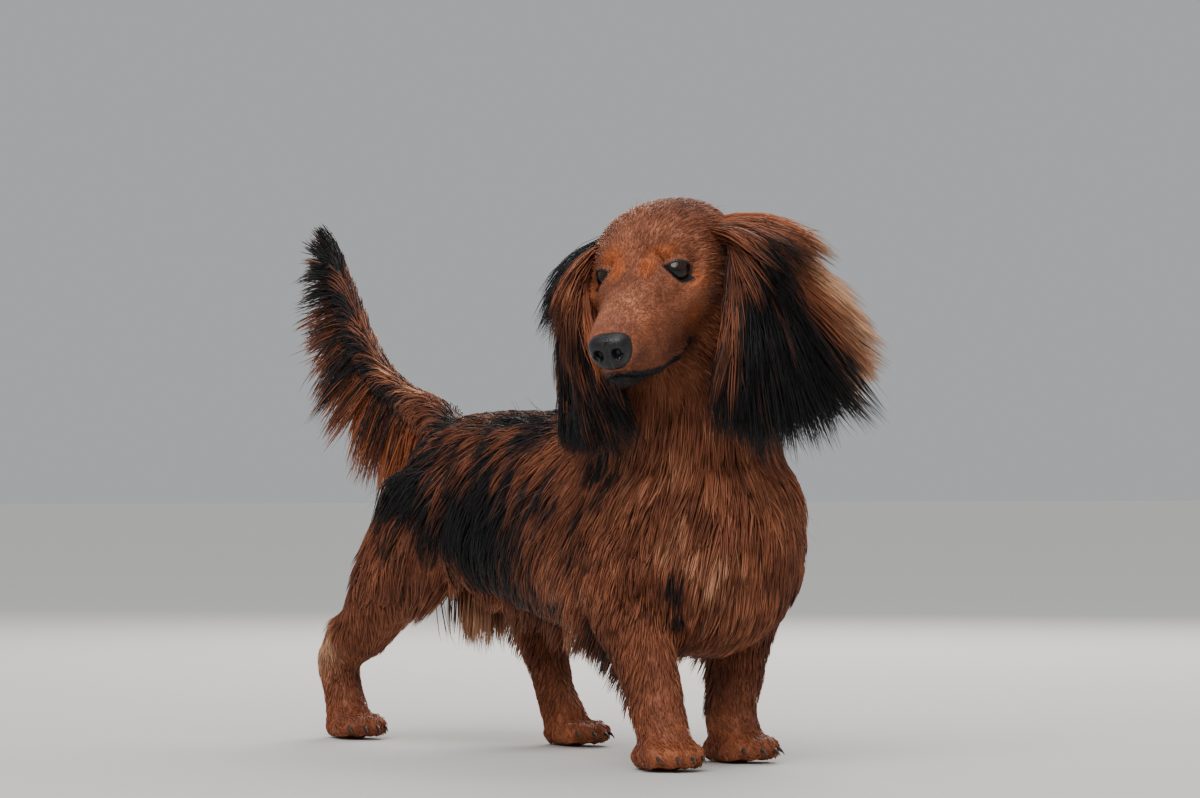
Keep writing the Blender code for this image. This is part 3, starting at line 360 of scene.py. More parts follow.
# the trunk
for behind in (0.06, 0.14, 0.22, 0.29):
    guide_both((0.018, behind, 0.243), (0.25, 0.95, -0.15), 26, 0.18, 5)
guide_both((0.020, 0.345, 0.225), (0.25, 0.85, -0.45), 28, 0.20, 5)
guide_both((0.052, 0.02, 0.205), (0.15, 0.50, -0.85), 34, 0.20, 6)
guide_both((0.072, -0.02, 0.165), (0.05, 0.30, -0.95), 28, 0.20, 5)
guide_both((0.070, 0.08, 0.190), (0.10, 0.60, -0.78), 36, 0.20, 6)
guide_both((0.066, 0.16, 0.190), (0.10, 0.55, -0.80), 36, 0.20, 6)
guide_both((0.058, 0.24, 0.190), (0.10, 0.50, -0.82), 36, 0.20, 6)
guide_both((0.072, 0.12, 0.130), (-0.10, 0.45, -0.88), 38, 0.22, 6)
guide_both((0.062, 0.21, 0.130), (-0.10, 0.40, -0.90), 36, 0.22, 6)
guide_both((0.045, 0.08, 0.085), (-0.20, 0.80, -0.50), 32, 0.22, 6)
guide_both((0.040, 0.16, 0.085), (-0.20, 0.75, -0.60), 36, 0.25, 6)
guide_both((0.015, 0.12, 0.076), (0.00, 0.95, -0.35), 26, 0.20, 5)
guide_both((0.030, 0.25, 0.100), (0.00, 0.35, -0.95), 42, 0.50, 6, 0.018)
# the breast and the neck
guide_both((0.008, -0.076, 0.185), (0.06, -0.05, -1.0), 42, 0.22, 7)
guide_both((0.045, -0.060, 0.170), (0.35, 0.10, -0.92), 40, 0.22, 7)
guide_both((0.012, -0.075, 0.130), (0.05, 0.05, -1.0), 40, 0.25, 7)
guide_both((0.048, -0.050, 0.125), (0.15, 0.25, -0.95), 34, 0.22, 6)
guide_both((0.012, -0.050, 0.092), (0.00, 0.50, -0.85), 32, 0.25, 6)
guide((-0.040, -0.075, 0.240), (-0.02, -0.25, -0.97), 40, 0.22, 7)
guide((0.022, -0.060, 0.235), (0.45, 0.00, -0.90), 42, 0.22, 7)
guide((-0.075, -0.040, 0.235), (-0.25, 0.20, -0.95), 40, 0.22, 7)
guide((0.045, -0.010, 0.235), (0.40, 0.30, -0.88), 40, 0.22, 7)
guide((-0.075, 0.005, 0.225), (-0.15, 0.45, -0.88), 38, 0.22, 7)
guide((-0.030, 0.045, 0.255), (0.00, 0.75, -0.60), 34, 0.20, 6)
guide((-0.045, 0.020, 0.290), (0.05, 0.55, -0.80), 30, 0.20, 5)
guide((0.010, 0.010, 0.270), (0.35, 0.45, -0.85), 34, 0.20, 6)
for side, sign in SIDES.items():
    # the foreleg
    foot = FORE_FEET[side]
    upper, mid = foot.y * 0.2, foot.y * 0.6
    guide((sign * 0.070, upper + 0.005, 0.120), (0, 0.35, -0.93), 22, 0.18, 4, 0.018)
    guide((sign * 0.050, upper - 0.028, 0.110), (0, 0.05, -1.0), 16, 0.15, 3, 0.014)
    guide((sign * 0.052, upper + 0.050, 0.105), (0, 0.70, -0.70), 36, 0.40, 4, 0.014)
    guide((sign * 0.048, mid - 0.016, 0.080), (0, 0.00, -1.0), 12, 0.12, 2.5, 0.014)
    guide((sign * 0.070, mid + 0.010, 0.080), (0, 0.30, -0.95), 14, 0.12, 2.5, 0.014)
    guide((sign * 0.048, mid + 0.038, 0.075), (0, 0.70, -0.70), 34, 0.50, 3, 0.014)
    guide((foot.x, foot.y - 0.020, 0.050), (0, -0.05, -1.0), 8, 0.10, 1.8, 0.012)
    guide((foot.x, foot.y + 0.022, 0.048), (0, 0.55, -0.83), 20, 0.40, 2, 0.011)
    guide((foot.x, foot.y - 0.020, 0.024), (0, -0.80, -0.60), 6, 0.10, 1.2, 0.010)
    guide((foot.x, foot.y + 0.020, 0.018), (0, 0.30, -0.95), 9, 0.20, 1.2, 0.010)
    for inner in (-0.022, 0.022):
        guide((foot.x + inner, foot.y - 0.005, 0.020), (0, -0.55, -0.80), 6, 0.10, 1.2, 0.010)
    # the hind leg
    foot, stifle, hock = HIND_FEET[side], STIFLES[side], HOCKS[side]
    guide((sign * 0.068, 0.300, 0.185), (0.05 * sign, 0.50, -0.85), 32, 0.20, 5, 0.020)
    guide((sign * 0.072, 0.290, 0.140), (0, 0.35, -0.93), 24, 0.18, 4.5, 0.018)
    guide((sign * 0.060, 0.245, 0.140), (0, 0.15, -0.98), 22, 0.20, 4, 0.014)
    guide((sign * 0.045, 0.365, 0.170), (0, 0.50, -0.86), 38, 0.35, 5, 0.018)
    guide((sign * 0.048, 0.5 * (0.345 + hock), 0.125), (0, 0.45, -0.88), 32, 0.40, 4, 0.015)
    guide((sign * 0.050, 0.5 * (stifle + hock) - 0.02, 0.100), (0, 0.25, -0.97), 14, 0.15, 3, 0.014)
    guide((foot.x, hock + 0.016, 0.066), (0, 0.35, -0.94), 18, 0.35, 2, 0.012)
    guide((foot.x, hock - 0.014, 0.055), (0, 0.05, -1.0), 9, 0.10, 1.8, 0.011)
    guide((foot.x, foot.y + 0.022, 0.036), (0, 0.25, -0.97), 12, 0.25, 1.6, 0.011)
    guide((foot.x, foot.y - 0.020, 0.024), (0, -0.80, -0.60), 6, 0.10, 1.2, 0.010)
    guide((foot.x, foot.y + 0.020, 0.015), (0, 0.20, -0.98), 7, 0.15, 1.2, 0.010)
# the tail: along the bone on top, and under it the flag, which swings back and hangs
bone = [Vector(row[:3]) for row in through(TAIL_LINE, 3)]
for i, place in enumerate(bone):
    share = i / (len(bone) - 1)
    along = (bone[min(i + 1, len(bone) - 1)] - bone[max(i - 1, 0)]).normalized()
    under = Vector((0, along.z, -along.y))
    if share > 0.14:
        guide(place - under * 0.012, along - under * 0.15, 22 + 8 * share, 0.18, 3, 0.010)
        flag = under * 0.8 + Vector((0, 0, -0.65)) + along * max(0, 2.6 * share - 1.8)
        guide(place + under * 0.012, flag, 58 + 22 * math.sin(math.pi * share), 0.3, 2, 0.010)
        for sign in (1, -1):
            out = Vector((sign, 0, 0))
            guide(place + out * 0.012, under * 0.9 + along * 0.5 + out * 0.2, 34, 0.2, 3, 0.010)
guide(bone[-1] + Vector((0, 0.003, 0.006)), (0, 0.45, 1), 22, 0.3, 2, 0.009)
# the head, from the nose back
guide_head((0.004, 0.074, -0.014), (0.10, -1.00, 0.10), 2.6, 0.08, 0.5)
guide_head((0.006, 0.050, -0.005), (0.15, -1.00, 0.10), 3.6, 0.08, 0.7)
guide_head((0.017, 0.060, -0.030), (0.15, -1.00, -0.25), 3.2, 0.08, 0.6)
guide_head((0.022, 0.035, -0.028), (0.20, -1.00, -0.25), 4.0, 0.08, 0.8)
guide_head((0.020, 0.045, -0.046), (0.15, -0.90, -0.55), 4.2, 0.10, 0.7)
guide_head((0.006, 0.055, -0.056), (0.10, -0.95, -0.30), 5.0, 0.12, 0.8)
guide_head((0.010, 0.020, -0.062), (0.15, -0.95, -0.35), 7.0, 0.15, 1.2)
guide_head((0.012, -0.015, -0.064), (0.20, -0.80, -0.60), 16.0, 0.20, 3.0)
guide_head((0.006, 0.020, 0.004), (0.12, -1.00, 0.35), 4.5, 0.08, 0.9)
guide_head((0.006, -0.010, 0.022), (0.18, -0.90, 0.45), 7.0, 0.10, 1.4)
guide_head((0.008, -0.040, 0.032), (0.20, -1.00, 0.05), 10.0, 0.12, 2.0)
guide_head((0.008, -0.075, 0.030), (0.20, -0.95, -0.30), 16.0, 0.15, 3.0)
guide_head((0.008, -0.100, 0.010), (0.15, -0.60, -0.80), 24.0, 0.18, 4.0)
guide_head((0.020, 0.004, 0.014), (0.35, -0.70, 0.60), 4.5, 0.10, 0.9)
guide_head((0.014, 0.012, -0.004), (0.20, -0.95, 0.30), 3.5, 0.08, 0.7)
guide_head((0.036, -0.012, 0.008), (0.40, -0.90, 0.05), 6.0, 0.10, 1.2)
guide_head((0.040, -0.034, 0.012), (0.40, -0.85, -0.25), 9.0, 0.12, 1.8)
guide_head((0.028, 0.010, -0.018), (0.35, -0.90, -0.35), 4.2, 0.08, 0.8)
guide_head((0.036, -0.010, -0.022), (0.30, -0.90, -0.40), 6.5, 0.10, 1.3)
guide_head((0.032, 0.005, -0.038), (0.25, -0.85, -0.55), 6.5, 0.10, 1.2)
guide_head((0.044, -0.038, -0.025), (0.20, -0.80, -0.60), 12.0, 0.14, 2.2)
guide_head((0.036, -0.030, -0.052), (0.20, -0.70, -0.75), 16.0, 0.16, 2.8)
guide_head((0.044, -0.070, -0.030), (0.15, -0.60, -0.85), 24.0, 0.18, 4.0)

GUIDE_PLACES = np.array(GUIDE_PLACES)
GUIDE_WAYS = np.array(GUIDE_WAYS)
GUIDE_HAIR = np.array(GUIDE_HAIR)
GUIDE_REACH = np.array(GUIDE_REACH)


def unit(ways):
    return ways / np.maximum(np.linalg.norm(ways, axis=-1, keepdims=True), 1e-12)


def coat_at(places):
    """The coat's way, and its length, lift and depth, at each place."""
    ways = np.empty((len(places), 3))
    hair = np.empty((len(places), 3))
    for first in range(0, len(places), 20000):
        some = places[first:first + 20000]
        gap = ((some[:, None, :] - GUIDE_PLACES[None]) ** 2).sum(axis=2)
        nearness = -gap / (2 * GUIDE_REACH ** 2) - 2 * np.log(GUIDE_REACH / 0.01)
        weight = np.exp(nearness - nearness.max(axis=1, keepdims=True))
        weight /= weight.sum(axis=1, keepdims=True)
        ways[first:first + 20000] = weight @ GUIDE_WAYS
        hair[first:first + 20000] = weight @ GUIDE_HAIR
    return unit(ways), hair


# The face: the skin is cut finer round the eyes and the mouth, then sunk by the coat's depth.
# Brow, stop, cheeks, flews and chin are pushed in or out. The mouth is a closed crease with dark lips.
EYE_RADIUS = 0.0108
EYE_CENTRES = {side: Vector((sign * 0.0214, -0.0080, -0.0024)) for side, sign in SIDES.items()}
LID_HALF_LENGTH = 0.0128
LID_HALF_HEIGHT = 0.0086
MOUTH_LINE = through([
    (0.000, 0.081, -0.0440),
    (0.011, 0.077, -0.0462),
    (0.019, 0.061, -0.0500),
    (0.0225, 0.042, -0.0520),
    (0.0265, 0.022, -0.0512),
    (0.0305, 0.007, -0.0490),
], 6)


def eye_axes(side):
    """Which way the eye looks, the way to its outer corner, and the way up across it, in the head."""
    sign = SIDES[side]
    gaze = Vector((sign * 0.38, 0.90, -0.14)).normalized()
    outward = Vector((sign * 0.90, -0.42, 0.20))
    outward = (outward - gaze * outward.dot(gaze)).normalized()
    return gaze, outward, outward.cross(gaze) * sign


def lid_reach(angle):
    """How far the rim of the almond opening is from its middle, at this angle about it."""
    wide = (np.cos(angle) / LID_HALF_LENGTH) ** 2
    tall = np.abs(np.sin(angle)) / LID_HALF_HEIGHT
    almond = 2 / (tall + np.sqrt(tall ** 2 + 4 * wide))
    oval = 1 / np.hypot(np.cos(angle) / LID_HALF_LENGTH, np.sin(angle) / LID_HALF_HEIGHT)
    return 0.55 * almond + 0.45 * oval


def beyond_lid(places, side):
    """How far each place is beyond the rim of the eye's opening, and its way from the middle of the ball."""
    gaze, outward, over = (np.array(axis) for axis in eye_axes(side))
    offset = places - np.array(EYE_CENTRES[side])
    reach = np.linalg.norm(offset, axis=1)
    swing = np.arccos(np.clip(offset @ gaze / reach, -1, 1))
    angle = np.arctan2(offset @ over, offset @ outward)
    return swing * EYE_RADIUS - lid_reach(angle), reach, offset


def triangles_of(mesh):
    mesh.calc_loop_triangles()
    found = np.empty(len(mesh.loop_triangles) * 3, np.int32)
    mesh.loop_triangles.foreach_get("vertices", found)
    return found.reshape(-1, 3)


def tree_of(points, triangles):
    return BVHTree.FromPolygons(points.tolist(), triangles.tolist(), all_triangles=True)


flesh_tree = tree_of(points_of(skin.data), triangles_of(skin.data))
mouth_path = []
for x, y, z in MOUTH_LINE:
    out = Vector((x, max(0, y - 0.058) * 1.6, 0)).normalized()
    start = head_point(x, y, z) + head_way(*out) * 0.02
    mouth_path.append(flesh_tree.ray_cast(start, head_point(x, y, z) - start)[0])
mouth_path = to_head(np.array(mouth_path))


def fold(places):
    """The same places with the right side laid over the left."""
    return np.stack([np.abs(places[:, 0]), places[:, 1], places[:, 2]], axis=1)


def from_mouth(places):
    """Each place's distance from the mouth's line, both sides alike, and whether it is below the line."""
    offset = fold(places)[:, None, :] - mouth_path[None]
    gap = np.linalg.norm(offset, axis=2)
    nearest = gap.argmin(axis=1)
    index = np.arange(len(places))
    return gap[index, nearest], offset[index, nearest, 2] < 0


def cut_finer(piece, chosen):
    """Cuts the edges between the chosen points in half."""
    shape = bmesh.new()
    shape.from_mesh(piece.data)
    shape.verts.ensure_lookup_table()
    edges = [edge for edge in shape.edges if chosen[edge.verts[0].index] or chosen[edge.verts[1].index]]
    bmesh.ops.subdivide_edges(shape, edges=edges, cuts=1, use_grid_fill=True, smooth=0.4)
    bmesh.ops.triangulate(shape, faces=[face for face in shape.faces if len(face.verts) > 4])
    shape.to_mesh(piece.data)
    shape.free()


def near_features(places, eye_room, mouth_room):
    found = from_mouth(places)[0] < mouth_room
    for side in SIDES:
        beyond, reach, _ = beyond_lid(places, side)
        found |= (beyond < eye_room) & (reach < 0.020)
    return found


for eye_room, mouth_room in ((0.012, 0.009), (0.0055, 0.0040), (0.0022, 0.0018)):
    local = to_head(points_of(skin.data))
    close = np.linalg.norm(local, axis=1) < 0.15
    chosen = np.zeros(len(local), bool)
    chosen[close] = near_features(local[close], eye_room, mouth_room)
    cut_finer(skin, chosen)


# Each form is a centre, its reach, and the push, in the head. Both sides of the head are alike.
FACE_FORMS = [
    ((0.023, 0.004, 0.016), 0.0085, (0.0012, 0.0030, 0.0022)),
    ((0.012, 0.006, 0.000), 0.0060, (-0.0006, -0.0020, -0.0006)),
    ((0.026, 0.010, -0.016), 0.0070, (-0.0012, -0.0022, 0.0002)),
    ((0.036, -0.006, -0.012), 0.0100, (0.0022, 0.0012, 0.0006)),
    ((0.040, -0.016, 0.012), 0.0090, (-0.0016, 0.0, -0.0006)),
    ((0.034, 0.006, -0.036), 0.0110, (-0.0034, 0.0, 0.0)),
    ((0.042, -0.030, -0.036), 0.0140, (0.0034, 0.0, 0.0)),
    ((0.024, 0.024, -0.012), 0.0090, (-0.0026, 0.0, -0.0004)),
    ((0.020, 0.040, -0.010), 0.0080, (-0.0016, 0.0, -0.0004)),
    ((0.019, 0.056, -0.036), 0.0095, (0.0022, 0.0002, -0.0002)),
    ((0.022, 0.036, -0.040), 0.0085, (0.0014, 0.0, -0.0002)),
    ((0.028, 0.014, -0.044), 0.0070, (0.0010, 0.0, 0.0)),
    ((0.000, 0.016, 0.006), 0.0080, (0.0, 0.0, -0.0014)),
    ((0.000, -0.020, 0.030), 0.0075, (0.0, 0.0, -0.0010)),
    ((0.000, 0.044, -0.004), 0.0100, (0.0, 0.0, 0.0008)),
    ((0.000, 0.0860, -0.0285), 0.0095, (0.0, -0.0090, 0.0)),
    ((0.022, 0.046, -0.047), 0.0115, (0.0016, 0.0, -0.0042)),
    ((0.027, 0.022, -0.047), 0.0115, (0.0022, 0.0, -0.0046)),
    ((0.006, 0.066, -0.048), 0.0110, (0.0, 0.0, -0.0026)),
]


def normals_of(mesh):
    found = np.empty(len(mesh.vertices) * 3, np.float32)
    mesh.vertex_normals.foreach_get("vector", found)
    return found.reshape(-1, 3).astype(float)


def store_points(mesh, points):
    mesh.vertices.foreach_set("co", points.astype(np.float32).ravel())
    mesh.update()


def from_head(local):
    frame_of_head = np.array(HEAD_FRAME)
    return (local * (1, -1, 1)) @ frame_of_head[:3, :3].T + frame_of_head[:3, 3]


def swell(places, centre, radius, push):
    """Moves the places near centre by push, fading with distance."""
    for sign in (1, -1) if centre[0] else (1,):
        mirror = np.array((sign, 1, 1))
        gap = np.linalg.norm((places - np.array(centre) * mirror) / radius, axis=1)
        places += np.exp(-gap ** 2)[:, None] * (np.array(push) * mirror)


points = points_of(skin.data)
_, hair = coat_at(points)
points -= normals_of(skin.data) * hair[:, 2:3]
store_points(skin.data, points)
normals = normals_of(skin.data)
local = to_head(points)
local_normals = unit(to_head(points + normals) - local)
close = (local[:, 1] > -0.085) & (np.linalg.norm(local, axis=1) < 0.15) & (points[:, 1] < 0.06)
face = local[close]
out = local_normals[close]
crease, under = from_mouth(face)
for form in FACE_FORMS:
    swell(face, *form)
    swell(mouth_path, *form)
LID_MARGIN, LID_FADE, LID_RISE = 0.0085, 0.0040, 0.0003
SOCKET_SHARE, EYE_ROOM = 0.86, 0.019
CREASE_WIDTH, CREASE_DEPTH = 0.0010, 0.0022
LIP_WIDTH, LIP_PLACE = 0.0018, 0.0030
UPPER_LIP, LOWER_LIP = 0.0011, 0.0004
HOLLOW_WIDTH, HOLLOW_PLACE, HOLLOW_DEPTH = 0.0030, 0.0045, 0.0012
lip = np.exp(-((crease - LIP_PLACE) / LIP_WIDTH) ** 2)
face -= out * (CREASE_DEPTH * np.exp(-(crease / CREASE_WIDTH) ** 2))[:, None]
face += out * (lip * np.where(under, LOWER_LIP, UPPER_LIP))[:, None]
face -= out * (HOLLOW_DEPTH * np.exp(-((crease - HOLLOW_PLACE) / HOLLOW_WIDTH) ** 2) * under)[:, None]
for side in SIDES:
    beyond, reach, offset = beyond_lid(face, side)
    blend = np.clip((LID_MARGIN - beyond) / LID_FADE, 0, 1)
    blend = blend * blend * (3 - 2 * blend)
    level = np.where(beyond < 0, EYE_RADIUS * SOCKET_SHARE, EYE_RADIUS + LID_RISE)
    moved = reach + (level - reach) * blend * (reach < EYE_ROOM)
    face[:] = np.array(EYE_CENTRES[side]) + offset / reach[:, None] * moved[:, None]
local[close] = face
points = from_head(local)
points[:, 2] = np.maximum(points[:, 2], 0.0002)
store_points(skin.data, points)
skin.data.shade_smooth()
mouth_path -= unit(mouth_path * (1, 0, 1)) * 0.0007

# Placing: everything is made in the dog's own frame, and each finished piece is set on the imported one.
# The step from the one to the other comes from the left eye, whose place is known in both.
PACKED_EYE = Vector((0.0221, -0.0101, 0.0))
low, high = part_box("eye_left")
SHIFT = (low + high) / 2 - head_point(*PACKED_EYE)


def settle(piece, slot, *nodes):
    """Sets a finished piece on the frame and hides the solids it stands for. The slot is not used."""
    piece.data.transform(Matrix.Translation(SHIFT))
    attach(piece, "root")
    if nodes:
        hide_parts(*nodes)


# Markings: a red dog with a black overlay on the back, the flanks, the ears and along the tail, black lips
# and lid rims, orange brows, and paler hair on the breast, hock and groin. Some black patches are painted
# shade:
# on the legs, under the chest, on the chin, behind the mouth's corners, under the eyes and beside the ears.
# Gold and pale on the muzzle are partly painted light. Skin and hair read the same marks.
# A patch is a place, its reach to each side, back and up, and its strength.
BLACK_AND_SHADE_PATCHES = [
    ((0.000, 0.050, 0.255), (0.055, 0.050, 0.035), 0.60),
    ((0.000, 0.170, 0.255), (0.090, 0.125, 0.048), 0.90),
    ((0.000, 0.300, 0.240), (0.060, 0.050, 0.040), 0.80),
    ((0.068, 0.190, 0.168), (0.035, 0.085, 0.052), 1.05),
    ((0.060, 0.285, 0.195), (0.035, 0.045, 0.038), 0.90),
    ((0.066, 0.170, 0.118), (0.030, 0.060, 0.030), 0.66),
    ((0.074, 0.085, 0.190), (0.025, 0.040, 0.040), 0.62),
    ((0.062, 0.085, 0.110), (0.020, 0.040, 0.034), 0.42),
    ((-0.086, -0.010, 0.222), (0.026, 0.034, 0.026), 0.70),
    ((-0.074, 0.024, 0.185), (0.018, 0.026, 0.044), 0.56),
    ((0.066, 0.000, 0.215), (0.024, 0.032, 0.034), 0.56),
    # The next three darken the lower breast and the brisket: partly black streaks, partly painted shade under
    # the chest.
    ((0.042, -0.046, 0.132), (0.018, 0.026, 0.018), 0.46),
    ((-0.036, -0.050, 0.105), (0.018, 0.026, 0.014), 0.46),
    ((0.000, -0.055, 0.094), (0.030, 0.026, 0.010), 0.42),
    # The last four are painted shade on the legs and their inner sides, under the body.
    ((0.056, 0.012, 0.090), (0.026, 0.034, 0.045), 0.50),
    ((0.056, 0.320, 0.130), (0.032, 0.052, 0.038), 0.42),
    ((0.028, 0.030, 0.060), (0.016, 0.034, 0.034), 0.50),
    ((0.030, 0.240, 0.070), (0.014, 0.050, 0.034), 0.46),
]
PALE_PATCHES = [
    ((-0.066, -0.070, 0.212), (0.020, 0.050, 0.026), 0.46),
    ((-0.047, -0.078, 0.172), (0.019, 0.040, 0.032), 0.42),
    ((-0.018, -0.072, 0.138), (0.018, 0.040, 0.026), 0.32),
    ((0.042, 0.075, 0.078), (0.022, 0.030, 0.016), 0.60),
    ((-0.054, 0.420, 0.078), (0.022, 0.024, 0.024), 0.80),
    ((0.000, 0.294, 0.100), (0.032, 0.034, 0.024), 0.80),
    ((0.020, 0.300, 0.242), (0.030, 0.060, 0.008), 0.30),
]
# Marks of the face are the same in the head's own frame.
FACE_BLACK_AND_SHADE = [
    # The first three are the black lower lip and the mouth's corners, with painted shade on the chin below
    # and behind the corners.
    ((0.000, 0.066, -0.059), (0.020, 0.022, 0.010), 1.2),
    ((0.014, 0.048, -0.059), (0.012, 0.022, 0.008), 1.1),
    ((0.031, 0.004, -0.050), (0.009, 0.012, 0.009), 1.3),
    ((0.005, -0.024, 0.032), (0.003, 0.026, 0.010), 0.42),
    ((0.032, -0.026, 0.026), (0.010, 0.014, 0.012), 0.36),
    ((0.037, -0.012, 0.002), (0.004, 0.004, 0.002), 0.45),
    # The next three are painted shade: beside the ear, under the eye and on the cheek.
    ((0.046, -0.052, -0.020), (0.014, 0.022, 0.034), 0.60),
    ((0.024, 0.014, -0.024), (0.010, 0.010, 0.004), 0.36),
    ((0.042, -0.018, -0.028), (0.010, 0.016, 0.016), 0.45),
    ((0.008, 0.070, -0.040), (0.014, 0.014, 0.005), 0.35),
]
FACE_GOLD_AND_LIGHT = [
    ((0.010, 0.010, 0.004), (0.005, 0.010, 0.010), 1.1),
    ((0.020, 0.002, 0.012), (0.010, 0.010, 0.005), 1.1),
    ((0.035, -0.004, -0.010), (0.007, 0.008, 0.004), 0.7),
    # Gold on the muzzle's side is partly painted light where the muzzle catches the light.
    ((0.018, 0.060, -0.026), (0.010, 0.016, 0.012), 0.25),
    ((0.032, 0.002, -0.036), (0.008, 0.010, 0.010), 0.75),
]
FACE_PALE_AND_LIGHT = [
    # The first two are painted light on the lit bridge and sides of the muzzle.
    ((0.004, 0.046, -0.004), (0.014, 0.036, 0.012), 0.12),
    ((0.014, 0.060, -0.020), (0.012, 0.016, 0.012), 0.12),
    ((0.014, -0.052, 0.034), (0.026, 0.030, 0.010), 0.18),
    ((0.030, 0.012, -0.030), (0.012, 0.022, 0.014), 0.10),
]


def patches(places, rows, mirrored=False):
    found = np.zeros(len(places))
    for place, reach, strength in rows:
        here = fold(places) if mirrored or place[0] > 0.038 else places
        gap = (((here - np.array(place)) / np.array(reach)) ** 2).sum(axis=1)
        found = np.maximum(found, strength * np.exp(-gap * 0.7))
    return found


def marks_at(places):
    """The share of black, of gold and of pale hair at each place. The black share also holds painted shade,
    and gold and pale some painted light.
    """
    local = to_head(places)
    head = (np.linalg.norm(local + (0, 0.02, 0.01), axis=1) < 0.115) & (places[:, 2] > 0.24)
    black = patches(places, BLACK_AND_SHADE_PATCHES)
    pale = patches(places, PALE_PATCHES)
    gold = 0.30 * np.clip((0.055 - places[:, 2]) / 0.04, 0, 1)
    tail = (places[:, 1] > 0.365) & (places[:, 2] > 0.20)
    gap = places[tail][:, None, :] - np.array(bone)[None]
    nearest = np.linalg.norm(gap, axis=2).argmin(axis=1)
    below = (gap[np.arange(len(nearest)), nearest] * (0, 0.8, -0.6)).sum(axis=1)
    share = nearest / (len(bone) - 1)
    black[tail] = np.clip(0.95 - np.abs(below + 0.002) / 0.012 + 0.35 * (share - 0.80), 0, 1)
    gold[tail] = np.clip((below - 0.002) / 0.008, 0, 0.85)
    pale[tail] = np.clip((-below - 0.008) / 0.006, 0, 0.5)
    face = local[head]
    mouth_gap, under = from_mouth(face)
    lips = np.exp(-(mouth_gap / np.where(under, 0.0062, 0.0040)) ** 2)
    rims = np.zeros(len(face))
    for side in SIDES:
        beyond, reach, _ = beyond_lid(face, side)
        rims = np.maximum(rims, np.exp(-(np.clip(beyond, 0, 1) / 0.0014) ** 2) * (reach < 0.014))
    # On the face the black also holds painted shade on the chin, the cheeks and beside the ears.
    black[head] = np.maximum.reduce([lips, rims, patches(face, FACE_BLACK_AND_SHADE, True)])
    gold[head] = patches(face, FACE_GOLD_AND_LIGHT, True)
    pale[head] = patches(face, FACE_PALE_AND_LIGHT, True)
    return np.stack([black, gold, pale], axis=1)


def store_vectors(mesh, name, values):
    found = mesh.attributes.new(name, "FLOAT_VECTOR", "POINT")
    found.data.foreach_set("vector", values.astype(np.float32).ravel())


class Shade:
    """A shader socket that takes part in sums. node() makes any other node."""

    def __init__(self, tree, socket=None):
        self.tree = tree
        self.socket = socket

    def node(self, kind, inputs=None, out=0, **settings):
        made = self.tree.nodes.new("ShaderNode" + kind)
        for name, value in settings.items():
            setattr(made, name, value)
        for name, value in (inputs or {}).items():
            if isinstance(value, Shade):
                self.tree.links.new(value.socket, made.inputs[name])
            else:
                made.inputs[name].default_value = value
        return Shade(self.tree, made.outputs[out])

    def sum(self, operation, first, second):
        return self.node("Math", {0: first, 1: second}, operation=operation)

    def __add__(self, other):
        return self.sum("ADD", self, other)

    def __radd__(self, other):
        return self.sum("ADD", other, self)

    def __sub__(self, other):
        return self.sum("SUBTRACT", self, other)

    def __rsub__(self, other):
        return self.sum("SUBTRACT", other, self)

    def __mul__(self, other):
        return self.sum("MULTIPLY", self, other)

    def between(self, low, high):
        """0 at low, 1 at high, and smooth from one to the other."""
        inputs = {"Value": self, "From Min": low, "From Max": high}
        return self.node("MapRange", inputs, interpolation_type="SMOOTHSTEP", clamp=True)

    def mix(self, first, second):
        """A colour between two, by this share."""
        inputs = {0: self, 6: first, 7: second}
        return self.node("Mix", inputs, out=2, data_type="RGBA")


def new_material(name, **constants):
    """A material, its empty Shade, and its Principled shader with the constants set."""
    made = bpy.data.materials.new(name)
    made.use_nodes = True
    shader = made.node_tree.nodes["Principled BSDF"]
    for key, value in constants.items():
        shader.inputs[key.replace("_", " ")].default_value = value
    return made, Shade(made.node_tree), shader


MAHOGANY = (0.070, 0.017, 0.0085, 1)
CHESTNUT = (0.310, 0.098, 0.044, 1)
BRIGHT_RED = (0.580, 0.225, 0.118, 1)
RAVEN = (0.0032, 0.0030, 0.0038, 1)
SOOT = (0.0150, 0.0125, 0.0140, 1)
AMBER = (0.370, 0.088, 0.019, 1)
STRAW = (0.760, 0.440, 0.260, 1)


